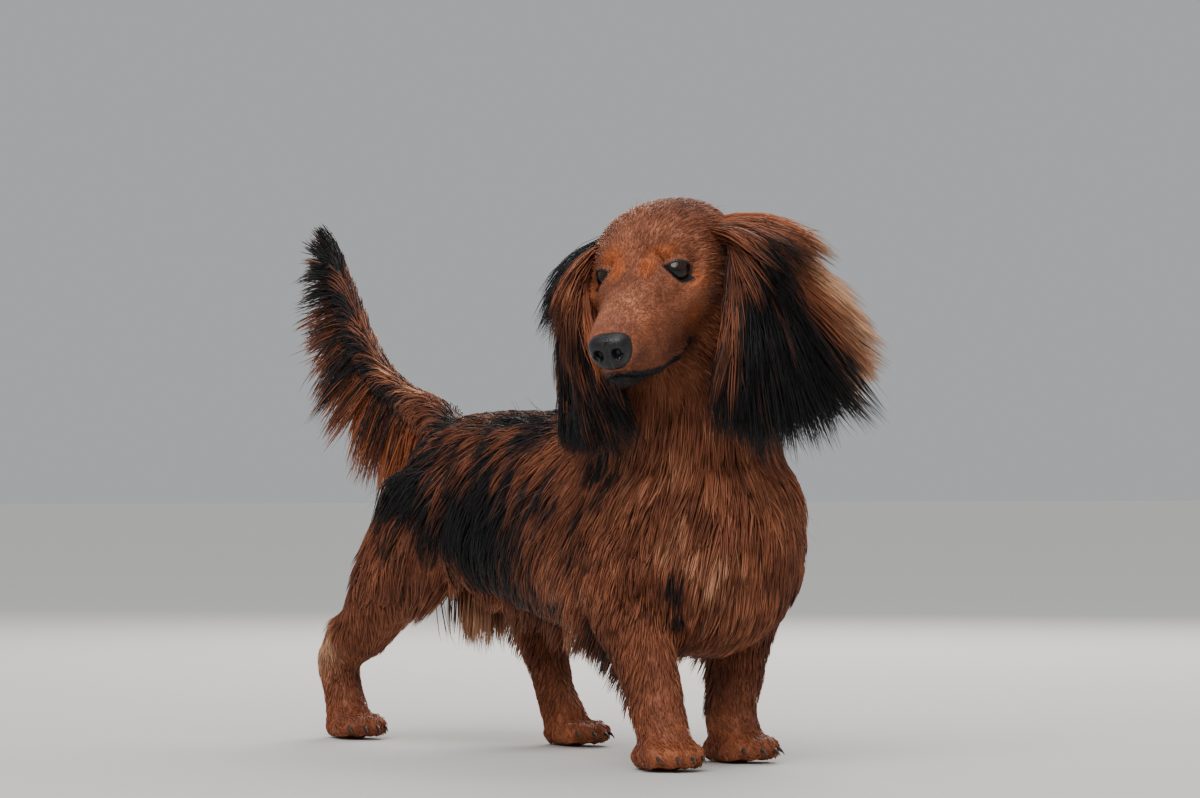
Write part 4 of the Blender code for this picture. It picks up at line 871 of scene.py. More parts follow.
def coat_material(name, hairy):
    """Hair or skin of the red coat: the marks choose the colour, and each hair has a tone of its own. The
    black mark also paints shade, and gold and pale some light.
    """
    made, shade, shader = new_material(name, IOR=1.50, Specular_IOR_Level=0.30)
    marks = shade.node("Attribute", attribute_name="marks", out="Vector")
    black, gold, pale = (shade.node("SeparateXYZ", {0: marks}, out=i) for i in range(3))
    place = shade.node("TexCoord", out="Object")
    patchy = shade.node("TexNoise", {"Vector": place, "Scale": 30.0, "Detail": 3.0, "Roughness": 0.6})
    if hairy:
        strand = shade.node("Attribute", attribute_name="strand", out="Vector")
        tone, reach, lock = (shade.node("SeparateXYZ", {0: strand}, out=i) for i in range(3))
        across = shade.node("Attribute", attribute_name="across", out="Fac")
        grain = shade.node("CombineXYZ", {0: across * 6.0 + tone * 43.0, 1: reach * 2.0, 2: lock * 31.0})
        fibres = shade.node("TexNoise", {"Vector": grain, "Scale": 1.0, "Detail": 2.0, "Roughness": 0.7})
        bump = shade.node("Bump", {"Height": fibres, "Strength": 0.35, "Distance": 0.0003})
    else:
        grain = shade.node("Attribute", attribute_name="grain", out="Vector")
        fibres = shade.node("TexNoise", {"Vector": grain, "Scale": 1.0, "Detail": 4.0, "Roughness": 0.65})
        tone = (fibres - 0.5) * 0.9 + 0.5
        reach = 0.35
        lock = patchy
        bump = shade.node("Bump", {"Height": fibres, "Strength": 0.6, "Distance": 0.0006})
    made.node_tree.links.new(bump.socket, shader.inputs["Normal"])
    depth = tone * 0.35 + (fibres - 0.5) * 0.9 + (lock - 0.5) * 0.45 + (patchy - 0.5) * 0.9 + reach * 0.25
    red = (depth + 0.28).between(0.0, 0.9).mix(MAHOGANY, CHESTNUT)
    red = (depth + 0.05).between(0.30, 1.05).mix(red, BRIGHT_RED)
    # Gold and pale lighten the red; on the muzzle this is partly painted light.
    golden = (gold + (depth - 0.3) * 0.5).between(0.0, 0.95).mix(red, AMBER)
    paler = (pale + (depth - 0.3) * 0.7).between(0.15, 0.95).mix(golden, STRAW)
    dark = depth.between(0.1, 0.9).mix(RAVEN, SOOT)
    streaks = (lock - 0.5) * 0.55 + (tone - 0.5) * 0.35 + (fibres - 0.5) * 0.5
    # The overlay is black hair, and painted shade where the black mark stands for it.
    overlay = (black + streaks * black.between(0.02, 0.35)).between(0.34, 0.62)
    colour = overlay.mix(paler, dark)
    made.node_tree.links.new(colour.socket, shader.inputs["Base Color"])
    gloss = 0.50 - overlay * 0.06 + patchy * 0.10 + (0.0 if hairy else 0.10)
    made.node_tree.links.new(gloss.socket, shader.inputs["Roughness"])
    return made


SKIN_COAT = coat_material("short red coat on the skin", False)
HAIR_COAT = coat_material("long red hair", True)
store_vectors(skin.data, "marks", marks_at(points))
on_face = (np.linalg.norm(local + (0, 0.02, 0.01), axis=1) < 0.12) & (points[:, 2] > 0.24)
grain = np.where(on_face[:, None], local * (1500, 260, 900), points * (900, 900, 260))
store_vectors(skin.data, "grain", grain)
skin.data.materials.append(SKIN_COAT)

# Combing: every tuft is a thin, closed, three-sided lock of hair. It starts under the skin, follows the lie
# of the coat from step to step, keeps clear of the skin, and gathers with its neighbours towards one tip.
# Its colour patch for baking lies at its root's place on an unwrap of a thinned copy of the skin, the scalp.
skin_points = points_of(skin.data)
skin_normals = normals_of(skin.data)
skin_triangles = triangles_of(skin.data)
skin_tree = tree_of(skin_points, skin_triangles)

scalp = bpy.data.objects.new("scalp", skin.data.copy())
bpy.context.scene.collection.objects.link(scalp)
thin = scalp.modifiers.new("thin", "DECIMATE")
thin.ratio = 0.05
apply_modifiers(scalp)
bpy.ops.object.select_all(action="DESELECT")
scalp.select_set(True)
bpy.context.view_layer.objects.active = scalp
bpy.ops.object.mode_set(mode="EDIT")
bpy.ops.mesh.select_all(action="SELECT")
bpy.ops.uv.smart_project(angle_limit=math.radians(66), island_margin=0.004)
bpy.ops.object.mode_set(mode="OBJECT")
scalp_points = points_of(scalp.data)
scalp_triangles = triangles_of(scalp.data)
scalp_loops = np.empty(len(scalp.data.loop_triangles) * 3, np.int32)
scalp.data.loop_triangles.foreach_get("loops", scalp_loops)
scalp_uv = np.empty(len(scalp.data.loops) * 2, np.float32)
scalp.data.uv_layers.active.uv.foreach_get("vector", scalp_uv)
scalp_uv = scalp_uv.reshape(-1, 2)[scalp_loops].reshape(-1, 3, 2)
scalp_tree = tree_of(scalp_points, scalp_triangles)
bpy.data.objects.remove(scalp)


def unwrap_at(places):
    """Where each place is on the unwrap of the skin."""
    hits = [scalp_tree.find_nearest(place) for place in places.tolist()]
    near = np.array([tuple(hit[0]) for hit in hits])
    index = np.array([hit[2] for hit in hits])
    a, b, c = (scalp_points[scalp_triangles[index, k]] for k in range(3))
    ab, ac, ap = b - a, c - a, near - a
    d00, d01, d11 = (ab * ab).sum(1), (ab * ac).sum(1), (ac * ac).sum(1)
    d20, d21 = (ap * ab).sum(1), (ap * ac).sum(1)
    area = np.maximum(d00 * d11 - d01 * d01, 1e-16)
    v = np.clip((d11 * d20 - d01 * d21) / area, 0, 1)
    w = np.clip((d00 * d21 - d01 * d20) / area, 0, 1)
    uv = scalp_uv[index]
    return uv[:, 0] * (1 - v - w)[:, None] + uv[:, 1] * v[:, None] + uv[:, 2] * w[:, None]


def near_skin(places):
    """The nearest place on the skin, the way out there, and the height above it."""
    hits = [skin_tree.find_nearest(place) for place in places.tolist()]
    near = np.array([tuple(hit[0]) for hit in hits])
    out = np.array([tuple(hit[1]) for hit in hits])
    return near, out, ((places - near) * out).sum(axis=1)


def scatter(dice, density, count):
    """Random places on the skin, thicker where the density is higher, with the way out at each."""
    a, b, c = (skin_points[skin_triangles[:, k]] for k in range(3))
    area = np.linalg.norm(np.cross(b - a, c - a), axis=1) * density[skin_triangles].mean(axis=1)
    chosen = dice.choice(len(area), count, p=area / area.sum())
    u, v = dice.random(count), dice.random(count)
    over = u + v > 1
    u[over], v[over] = 1 - u[over], 1 - v[over]
    share = np.stack([1 - u - v, u, v], axis=1)[:, :, None]
    corners = skin_triangles[chosen]
    return (skin_points[corners] * share).sum(axis=1), unit((skin_normals[corners] * share).sum(axis=1))


def gather(path, per_lock, dice, pull):
    """Draws hairs together into locks, more towards their tips. Gives each hair's lock."""
    count = path.shape[1]
    leaders = dice.choice(count, max(1, count // per_lock), replace=False)
    tree = KDTree(len(leaders))
    for i, leader in enumerate(leaders):
        tree.insert(path[0, leader], i)
    tree.balance()
    lock = np.array([tree.find(place)[1] for place in path[0].tolist()])
    lead = path[:, leaders[lock]]
    rings = len(path)
    for k in range(1, rings):
        t = k / (rings - 1)
        target = lead[k] + (path[0] - lead[0]) * (1 - 0.80 * t)
        path[k] += (target - path[k]) * (pull * t ** 1.1)
    return lock


ABOVE_FLOOR = 0.0003
BAKE_PATCH = 0.003


def make_tufts(name, path, widths, flats, tone, lock, slot="red_coat", marks=None):
    """One joined piece of tufts. path holds the places along each tuft, root first."""
    rings, count = path.shape[0] - 1, path.shape[1]
    heading = unit(np.gradient(path, axis=0))
    side = unit(np.cross(heading, flats[None]))
    deep = unit(np.cross(side, heading))
    profile = np.interp(np.linspace(0, 1, rings + 1)[:-1], (0, 0.35, 0.75, 1), (0.75, 1.0, 0.72, 0.3))
    half = (widths[None] * profile[:, None] / 2)[:, :, None]
    ring = np.stack([
        path[:-1] + side[:-1] * half,
        path[:-1] + deep[:-1] * half * 0.9,
        path[:-1] - side[:-1] * half,
    ], axis=2)
    sleeve = ring.transpose(1, 0, 2, 3).reshape(count, rings * 3, 3)
    verts = np.concatenate([sleeve, path[-1][:, None]], axis=1)
    verts[..., 2] = np.maximum(verts[..., 2], ABOVE_FLOOR)
    faces = [(0, 2, 1)]
    for k in range(rings - 1):
        for j in range(3):
            a, b = 3 * k + j, 3 * k + (j + 1) % 3
            faces += [(a, b, b + 3), (a, b + 3, a + 3)]
    for j in range(3):
        faces.append((3 * (rings - 1) + j, 3 * (rings - 1) + (j + 1) % 3, 3 * rings))
    faces = np.array(faces)
    per = 3 * rings + 1
    every = (faces[None] + (np.arange(count) * per)[:, None, None]).reshape(-1)
    mesh = bpy.data.meshes.new(name)
    mesh.vertices.add(count * per)
    mesh.vertices.foreach_set("co", verts.astype(np.float32).ravel())
    mesh.loops.add(len(every))
    mesh.loops.foreach_set("vertex_index", every.astype(np.int32))
    mesh.polygons.add(len(every) // 3)
    mesh.polygons.foreach_set("loop_start", np.arange(0, len(every), 3, dtype=np.int32))
    mesh.update(calc_edges=True)
    mesh.shade_smooth()
    t = np.concatenate([np.repeat(np.arange(rings) / rings, 3), [1.0]])
    around = np.concatenate([np.tile((0.0, 0.5, 1.0), rings), [0.5]])
    here = np.stack([around - 0.5, t - 0.5], axis=1) * BAKE_PATCH
    uv = (unwrap_at(path[0])[:, None, :] + here[None]).reshape(-1, 2)
    layer = mesh.uv_layers.new(name="OFBake")
    layer.uv.foreach_set("vector", uv[every].astype(np.float32).ravel())
    fibre = mesh.attributes.new("across", "FLOAT", "POINT")
    fibre.data.foreach_set("value", np.tile(around, count).astype(np.float32))
    strand = np.empty((count, per, 3))
    strand[:, :, 0] = tone[:, None]
    strand[:, :, 1] = t[None]
    strand[:, :, 2] = lock[:, None]
    store_vectors(mesh, "strand", strand.reshape(-1, 3))
    marks = marks_at(path[0]) if marks is None else marks
    store_vectors(mesh, "marks", np.repeat(marks, per, axis=0))
    mesh.materials.append(HAIR_COAT)
    piece = bpy.data.objects.new(name, mesh)
    bpy.context.scene.collection.objects.link(piece)
    settle(piece, slot)


GRAVITY = np.array((0, 0, -1.0))
ROOT_DEPTH = 0.0008


def comb_coat(name, inside, count, rings, width, per_lock, pull, seed,
              spread=0.20, hang=0.12, slot="red_coat"):
    """Grows one piece of the coat on the part of the skin where inside is over 0."""
    dice = np.random.default_rng(seed)
    roots, out = scatter(dice, inside, count)
    ways, hair = coat_at(roots)
    length = hair[:, 0] * dice.uniform(0.72, 1.12, count)
    for side in SIDES:
        beyond, reach, _ = beyond_lid(to_head(roots), side)
        length = np.where(reach < 0.021, length * np.clip(beyond / 0.005, 0.22, 1), length)
    lift = hair[:, 1]
    depth = hair[:, 2]
    layer = dice.random(count) ** 0.8
    path = np.empty((rings + 1, count, 3))
    path[0] = roots - out * ROOT_DEPTH
    ways = unit(ways + dice.normal(0, 0.10, (count, 3)))
    ways = unit(ways - out * (ways * out).sum(axis=1, keepdims=True))
    heading = unit(ways + out * (lift * 1.3 + 0.08)[:, None])
    place = roots.copy()
    for k in range(1, rings + 1):
        t = k / rings
        place = place + heading * (length / rings)[:, None]
        near, away, height = near_skin(place)
        least = depth * (0.15 + 0.95 * layer) * min(1.0, 2.2 * t)
        most = np.maximum(least * 1.2, lift * length * t * 0.9)
        wanted = np.clip(height, least, most)
        place = near + away * wanted[:, None]
        path[k] = place
        ways, _ = coat_at(near)
        ways = unit(ways - away * (ways * away).sum(axis=1, keepdims=True))
        heading = unit(ways + away * (lift * 0.5)[:, None] + GRAVITY * hang * t)
    lock = gather(path, per_lock, dice, pull)
    lock_tone = dice.random(lock.max() + 1)[lock]
    tone = np.clip(dice.normal(0.5, spread, count), 0, 1)
    lock_tone = 0.5 + (lock_tone - 0.5) * min(1.0, spread * 5)
    widths = width * dice.uniform(0.7, 1.25, count)
    flats = unit(out + dice.normal(0, 0.35, (count, 3)))
    make_tufts(name, path, widths, flats, tone, lock_tone, slot)


def comb_fringe(name, lines, count, rings, width, per_lock, pull, seed, slot="red_coat"):
    """Grows hanging feathering from lines on the skin. A row is a place, a way, and length and room in mm."""
    dice = np.random.default_rng(seed)
    paths, lengths = [], [len(line) for line in lines]
    for line in lines:
        rows = through([(*place, *way, length / 1000, room / 1000) for place, way, length, room in line], 8)
        share = round(count * len(line) / sum(lengths))
        at = dice.random(share) * (len(rows) - 1)
        low = np.minimum(at.astype(int), len(rows) - 2)
        row = rows[low] + (rows[low + 1] - rows[low]) * (at - low)[:, None]
        place, out, _ = near_skin(row[:, :3] + dice.normal(0, 1, (share, 3)) * row[:, 7:8] / 2)
        way = unit(row[:, 3:6]) + dice.normal(0, 0.10, (share, 3))
        length = row[:, 6] * dice.uniform(0.60, 1.08, share)
        path = np.empty((rings + 1, share, 3))
        path[0] = place - out * ROOT_DEPTH
        heading = unit(unit(way) + out * 0.7)
        for k in range(1, rings + 1):
            t = k / rings
            heading = unit(heading * 0.6 + unit(way) * 0.6 + GRAVITY * 0.12 * t)
            place = place + heading * (length / rings)[:, None]
            near, away, height = near_skin(place)
            place = place + away * (np.maximum(0, 0.0020 - height) * (height > -0.02))[:, None]
            path[k] = place
        paths.append(path)
    path = np.concatenate(paths, axis=1)
    lock = gather(path, per_lock, dice, pull)
    lock_tone = dice.random(lock.max() + 1)[lock]
    tone = np.clip(dice.normal(0.5, 0.2, path.shape[1]), 0, 1)
    widths = width * dice.uniform(0.7, 1.25, path.shape[1])
    flats = unit(dice.normal(0, 1, (path.shape[1], 3)) + (1.5, 0, 0))
    make_tufts(name, path, widths, flats, tone, lock_tone, slot)


# The coat: short and close on the muzzle, longer on the crown, long on the neck, the breast and the trunk,
# and close on the legs. Each piece grows on its own part of the skin.
# The nose, the eyes and the crease of the lips stay bare. The muzzle is all that is in front of the eyes.
skin_local = to_head(skin_points)
is_head = (np.linalg.norm(skin_local + (0, 0.02, 0.01), axis=1) < 0.118) & (skin_local[:, 1] > -0.100)
is_head &= skin_points[:, 2] > 0.245
bare = ((((skin_local - (0, 0.0800, -0.0265)) / (0.0140, 0.0125, 0.0108)) ** 2).sum(axis=1)) < 1
for side in SIDES:
    beyond, reach, _ = beyond_lid(skin_local, side)
    bare |= (beyond < 0.0005) & (reach < 0.0135)
bare |= is_head & (from_mouth(skin_local)[0] < 0.0009)
is_tail = (skin_points[:, 1] > 0.352) & (skin_points[:, 2] > 0.222 - 0.3 * (skin_points[:, 1] - 0.352))
is_body = ~is_head & ~is_tail
is_leg = is_body & (skin_points[:, 2] < 0.105) & (np.abs(skin_points[:, 0]) > 0.018)
is_fore = is_leg & (skin_points[:, 1] < 0.09)
is_hind = is_leg & (skin_points[:, 1] > 0.205)
is_trunk = is_body & ~is_fore & ~is_hind
on_floor = skin_points[:, 2] < 0.004
muzzle = is_head & (skin_local[:, 1] > -0.012)
crown = is_head & ~muzzle

comb_coat("coat_muzzle", (muzzle & ~bare).astype(float), 13000, 2, 0.00042, 5, 0.15, 11, spread=0.05)
comb_coat("coat_crown", (crown & ~bare).astype(float), 10800, 3, 0.00052, 7, 0.25, 12, spread=0.06)
inside = is_trunk & (skin_points[:, 1] < 0.062)
throat = skin_points[:, 2] >= 0.185
for name, chosen, seed in (("throat", throat, 21), ("breast", ~throat, 22)):
    comb_coat("coat_" + name, (inside & chosen).astype(float), 6600, 4, 0.0010, 14, 0.55, seed)
for name, front, rear, seed in (("ribs", 0.062, 0.185, 31), ("loin", 0.185, 0.60, 32)):
    inside = is_trunk & (skin_points[:, 1] >= front) & (skin_points[:, 1] < rear)
    comb_coat("coat_" + name, inside.astype(float), 6600, 4, 0.0010, 14, 0.55, seed, slot="shaded_coat")
comb_coat("coat_forelegs", (is_fore & ~on_floor).astype(float), 6600, 3, 0.00085, 8, 0.3, 41, spread=0.08)
comb_coat("coat_hindlegs", (is_hind & ~on_floor).astype(float), 7000, 3, 0.00085, 8, 0.3, 42, spread=0.08)
comb_coat("coat_tail", is_tail.astype(float), 3600, 3, 0.0009, 10, 0.4, 51, hang=0.3, slot="shaded_coat")

# The tail's flag: long hair from the underside of the tail, shorter again towards its tip.
# It grows from one line under the bone, and swings back and down.
flag = [
    ((0, 0.352, 0.205), (0, 0.30, -0.95), 52, 14),
    ((0, 0.376, 0.222), (0, 0.34, -0.94), 70, 14),
    ((0, 0.400, 0.236), (0, 0.42, -0.90), 78, 13),
    ((0, 0.440, 0.256), (0, 0.70, -0.72), 80, 13),
    ((0, 0.474, 0.284), (0, 0.90, -0.44), 76, 13),
    ((0, 0.500, 0.316), (0, 0.99, -0.12), 68, 12),
    ((0, 0.518, 0.346), (0, 0.98, 0.18), 50, 11),
    ((0, 0.530, 0.372), (0, 0.62, 0.78), 24, 8),
]
comb_fringe("tail_flag", [flag], 3000, 5, 0.0010, 16, 0.55, 52, slot="shaded_coat")

# Feathering: longer hair that hangs behind the legs, under the belly and in the groin.
# It grows from lines down the back of each leg and along each side of the belly.
leg_feathers, trunk_feathers = [], []
for side, sign in SIDES.items():
    foot = FORE_FEET[side]
    leg_feathers.append([
        ((sign * 0.050, foot.y * 0.2 + 0.052, 0.118), (-0.1 * sign, 0.55, -0.83), 38, 10),
        ((sign * 0.048, foot.y * 0.5 + 0.040, 0.090), (-0.1 * sign, 0.62, -0.78), 36, 8),
        ((foot.x, foot.y * 0.85 + 0.026, 0.062), (0, 0.60, -0.80), 26, 6),
        ((foot.x, foot.y + 0.022, 0.034), (0, 0.40, -0.92), 15, 5),
    ])
    stifle, hock = STIFLES[side], HOCKS[side]
    leg_feathers.append([
        ((sign * 0.036, 0.356, 0.190), (0, 0.35, -0.93), 44, 12),
        ((sign * 0.042, 0.352, 0.160), (0, 0.42, -0.90), 40, 11),
        ((sign * 0.048, 0.4 * 0.345 + 0.6 * (hock + 0.014), 0.118), (0, 0.50, -0.86), 32, 9),
        ((sign * 0.048, hock + 0.018, 0.072), (0, 0.40, -0.90), 18, 6),
    ])
    trunk_feathers.append([
        ((sign * 0.030, 0.060, 0.078), (0, 0.40, -0.92), 30, 12),
        ((sign * 0.034, 0.110, 0.078), (0, 0.45, -0.88), 28, 12),
        ((sign * 0.036, 0.170, 0.084), (0, 0.35, -0.92), 22, 12),
        ((sign * 0.034, 0.225, 0.096), (0, 0.20, -0.97), 18, 10),
        ((sign * 0.020, 0.252, 0.106), (0, 0.10, -1.0), 22, 12),
    ])
    trunk_feathers.append([
        ((sign * 0.009, 0.276, 0.108), (0, 0.16, -1.0), 50, 8),
        ((sign * 0.008, 0.296, 0.112), (0, 0.02, -1.0), 56, 8),
        ((sign * 0.009, 0.314, 0.118), (0, -0.14, -1.0), 46, 8),
    ])
comb_fringe("leg_feathers", leg_feathers, 2400, 4, 0.0009, 14, 0.55, 71)
comb_fringe("belly_feathers", trunk_feathers, 1700, 4, 0.0009, 14, 0.60, 72)

# Stray hairs: a few fine ones stand off the crown, the neck and the back, and catch the light.
# They are thinner and paler than the coat, and grow through it.
outer_rows = crown | (is_trunk & (skin_points[:, 2] > 0.15))
dice = np.random.default_rng(81)
count, rings = 900, 3
roots, out = scatter(dice, outer_rows.astype(float) * np.where(is_head, 3.0, 1.0), count)
ways, hair = coat_at(roots)
length = np.clip(hair[:, 0] * dice.uniform(0.8, 1.3, count), 0.008, 0.045)
path = np.empty((rings + 1, count, 3))
path[0] = roots - out * 0.0005
heading = unit(ways + out * dice.uniform(0.35, 1.1, count)[:, None] + dice.normal(0, 0.25, (count, 3)))
for k in range(1, rings + 1):
    heading = unit(heading + GRAVITY * 0.10 + ways * 0.12)
    path[k] = path[k - 1] + heading * (length / rings)[:, None]
make_tufts("stray_hairs", path, np.full(count, 0.00028), out, dice.uniform(0.5, 1, count), dice.random(count),
           marks=marks_at(roots) * (1, 1, 0) + (0, 0, 0.35))

# The skin takes the place of all the flesh now that its coat is on it.
settle(skin, "red_coat", "head", "neck", "torso", "tail", "foreleg_left", "foreleg_right",
       "hindleg_left", "hindleg_right")

# Eyes: moist dark brown balls in their sockets, each with a round pupil and a slightly bulging cornea.
# A rim of bare black skin, thicker above, closes round each and hides the edge of the socket.
IRIS_REACH = 0.0082
PUPIL_REACH = 0.0042
CORNEA_BULGE = 0.0008
LID_POINTS = 56


def eye_material(side):
    made, shade, shader = new_material(
        "moist brown eye " + side, IOR=1.2, Coat_Weight=1.0, Coat_IOR=1.36, Coat_Roughness=0.02)
    gaze, _, _ = eye_axes(side)
    middle = head_point(*EYE_CENTRES[side]) + SHIFT
    way = head_way(*gaze)
    here = shade.node("TexCoord", out="Object")
    place = shade.node("VectorMath", {0: here, 1: middle}, operation="SUBTRACT")
    ahead = shade.node("VectorMath", {0: place, 1: way}, operation="DOT_PRODUCT", out="Value")
    ahead_way = shade.node("VectorMath", {0: way, "Scale": ahead}, operation="SCALE")
    aside = shade.node("VectorMath", {0: place, 1: ahead_way}, operation="SUBTRACT")
    radius = shade.node("VectorMath", {0: aside}, operation="LENGTH", out="Value")
    spoke = shade.node("VectorMath", {0: aside}, operation="NORMALIZE")
    spokes = shade.node("TexNoise", {"Vector": spoke, "Scale": 14.0, "Detail": 3.0})
    brown = spokes.between(0.3, 0.7).mix((0.006, 0.0025, 0.0014, 1), (0.024, 0.009, 0.004, 1))
    iris = radius.between(PUPIL_REACH * 0.92, PUPIL_REACH * 1.08).mix((0.0015, 0.0012, 0.0012, 1), brown)
    white = radius.between(IRIS_REACH * 0.92, IRIS_REACH * 1.06).mix(iris, (0.006, 0.004, 0.0035, 1))
    made.node_tree.links.new(white.socket, shader.inputs["Base Color"])
    wet = 0.06 + spokes * 0.03
    made.node_tree.links.new(wet.socket, shader.inputs["Roughness"])
    return made


LEATHER_LIDS, lid_shade, lid_shader = new_material("black rim of the lids", IOR=1.45)
rim_place = lid_shade.node("TexCoord", out="Object")
rim_noise = lid_shade.node("TexNoise", {"Vector": rim_place, "Scale": 1600.0, "Detail": 2.0})
rim_colour = rim_noise.between(0.3, 0.75).mix((0.006, 0.005, 0.005, 1), (0.028, 0.018, 0.015, 1))
LEATHER_LIDS.node_tree.links.new(rim_colour.socket, lid_shader.inputs["Base Color"])
LEATHER_LIDS.node_tree.links.new((0.32 + rim_noise * 0.2).socket, lid_shader.inputs["Roughness"])


def lid_place(side, beyond, angle, height):
    gaze, outward, over = eye_axes(side)
    swing = (float(lid_reach(angle)) + beyond) / EYE_RADIUS
    tilt = outward * math.cos(angle) + over * math.sin(angle)
    place = EYE_CENTRES[side] + (gaze * math.cos(swing) + tilt * math.sin(swing)) * (EYE_RADIUS + height)
    return head_point(*place)


for side in SIDES:
    gaze, _, _ = eye_axes(side)
    middle = head_point(*EYE_CENTRES[side])
    way = head_way(*gaze)
    turn = way.to_track_quat("Z", "Y")
    bpy.ops.object.select_all(action="DESELECT")
    bpy.ops.mesh.primitive_uv_sphere_add(segments=64, ring_count=40, radius=EYE_RADIUS, location=(0, 0, 0))
    eye = bpy.context.object
    eye.name = "eyeball_" + side
    ball = points_of(eye.data)
    aside = np.hypot(ball[:, 0], ball[:, 1])
    bulge = np.clip(1 - (aside / IRIS_REACH) ** 2, 0, 1) * (ball[:, 2] > 0)
    ball[:, 2] += CORNEA_BULGE * bulge
    store_points(eye.data, ball)
    eye.data.transform(Matrix.Translation(middle) @ turn.to_matrix().to_4x4())
    eye.data.shade_smooth()
    eye.data.materials.append(eye_material(side))
    settle(eye, "eye", "eye_" + side)

    loft = bmesh.new()
    rows = ((-0.0002, -0.0018), (-0.0002, 0.0001), (0.0000, 0.0004), (0.0003, 0.0006), (0.0007, 0.0007),
            (0.0011, 0.0004), (0.0012, -0.0014))
    rings = []
    for beyond, height in rows:
        ring = []
        for i in range(LID_POINTS):
            angle = 2 * math.pi * i / LID_POINTS
            thick = 1 + 0.25 * max(0, math.sin(angle))
            ring.append(loft.verts.new(lid_place(side, beyond * thick, angle, height * thick)))
        rings.append(ring)
    for near, far in zip(rings, rings[1:] + rings[:1]):
        for i in range(LID_POINTS):
            j = (i + 1) % LID_POINTS
            loft.faces.new((near[i], near[j], far[j], far[i]))
    bmesh.ops.recalc_face_normals(loft, faces=loft.faces)
    lids = mesh_object("lids_" + side, loft)
    lids.data.shade_smooth()
    lids.data.materials.append(LEATHER_LIDS)
    settle(lids, "nose_leather")

# Nose: a black, moist pad of pebbled leather, with a nostril and its side slit on each hand, and a cleft.
# It is one pad, sunk into the hollow at the end of the muzzle, narrower and sloped back below.
NOSE_CENTRE = np.array((0, 0.0795, -0.0255))
NOSE_HALF = np.array((0.0140, 0.0100, 0.0098))
NOSTRIL_DEPTH, SLIT_DEPTH, CLEFT_DEPTH = 0.0056, 0.0030, 0.0009
LOWER_STRETCH, LOWER_NARROWING, LOWER_SLOPE = 0.52, 0.30, 0.0022
bpy.ops.object.select_all(action="DESELECT")
bpy.ops.mesh.primitive_cube_add(size=2, location=(0, 0, 0))
nose = bpy.context.object
nose.name = "nose_pad"
bpy.ops.object.mode_set(mode="EDIT")
bpy.ops.mesh.select_all(action="SELECT")
bpy.ops.mesh.subdivide(number_cuts=47)
bpy.ops.object.mode_set(mode="OBJECT")
pad = unit(points_of(nose.data))
pad *= (np.abs(pad) ** 2.7).sum(axis=1, keepdims=True) ** (-1 / 2.7) * NOSE_HALF
front = pad[:, 1] > -0.002
for sign in (1, -1):
    away = pad[:, [0, 2]] - (sign * 0.0060, -0.0016)
    round_hole = np.exp(-(np.linalg.norm(away * (0.95, 1.15), axis=1) / 0.0027) ** 4)
    slit = pad[:, [0, 2]] - (sign * 0.0080, -0.0032)
    turned = np.stack([slit[:, 0] + sign * slit[:, 1] * 0.6, slit[:, 1] - sign * slit[:, 0] * 0.6], axis=1)
    comma = np.exp(-((turned[:, 0] / 0.0028) ** 2 + (turned[:, 1] / 0.0010) ** 2) ** 2)
    pad[:, 1] -= np.maximum(NOSTRIL_DEPTH * round_hole, SLIT_DEPTH * comma) * front
pad[:, 1] -= CLEFT_DEPTH * np.exp(-(pad[:, 0] / 0.0009) ** 2) * front * (pad[:, 2] < 0.006)
low_share = np.clip(-pad[:, 2] / NOSE_HALF[2], 0, 1)
pad[:, 0] *= 1 - LOWER_NARROWING * low_share ** 2
pad[:, 1] -= LOWER_SLOPE * low_share ** 2
pad[:, 2] *= 1 + LOWER_STRETCH * (pad[:, 2] < 0)
store_points(nose.data, from_head(pad + NOSE_CENTRE))
bpy.ops.object.mode_set(mode="EDIT")
bpy.ops.mesh.select_all(action="SELECT")
bpy.ops.mesh.normals_make_consistent(inside=False)
bpy.ops.object.mode_set(mode="OBJECT")
nose.data.shade_smooth()
NOSE_LEATHER, nose_shade, nose_shader = new_material("moist black nose leather", IOR=1.42)
nose_place = nose_shade.node("TexCoord", out="Object")
pebbles = nose_shade.node("TexVoronoi", {"Vector": nose_place, "Scale": 1100.0}, out="Distance")
sheen = nose_shade.node("TexNoise", {"Vector": nose_place, "Scale": 220.0, "Detail": 3.0})
nose_colour = pebbles.between(0.1, 0.7).mix((0.017, 0.0165, 0.019, 1), (0.006, 0.0058, 0.007, 1))
NOSE_LEATHER.node_tree.links.new(nose_colour.socket, nose_shader.inputs["Base Color"])
NOSE_LEATHER.node_tree.links.new((0.18 + sheen * 0.24).socket, nose_shader.inputs["Roughness"])
nose_bump = nose_shade.node("Bump", {"Height": 1 - pebbles, "Strength": 0.45, "Distance": 0.0004})
NOSE_LEATHER.node_tree.links.new(nose_bump.socket, nose_shader.inputs["Normal"])
nose.data.materials.append(NOSE_LEATHER)
settle(nose, "nose_leather", "nose")

# Claws: short, curved, dark horn at the end of each toe, worn blunt at the tip.
# Each is rooted in its toe, bent down to the ground, and the four of a paw are one piece.
CLAW_LENGTH = 0.0062
CLAW_WIDTH = 0.0028
CLAW_DROP = 0.0034
CLAW_ROOT = Vector((0, -0.0125, 0.0010))
CLAW_HORN, claw_shade, claw_shader = new_material("dark claw horn", IOR=1.5)
claw_place = claw_shade.node("TexCoord", out="Object")
growth = claw_shade.node("TexNoise", {"Vector": claw_place, "Scale": 700.0, "Detail": 2.0})
horn = growth.between(0.3, 0.7).mix((0.012, 0.009, 0.008, 1), (0.060, 0.040, 0.028, 1))
CLAW_HORN.node_tree.links.new(horn.socket, claw_shader.inputs["Base Color"])
CLAW_HORN.node_tree.links.new((0.30 + growth * 0.2).socket, claw_shader.inputs["Roughness"])


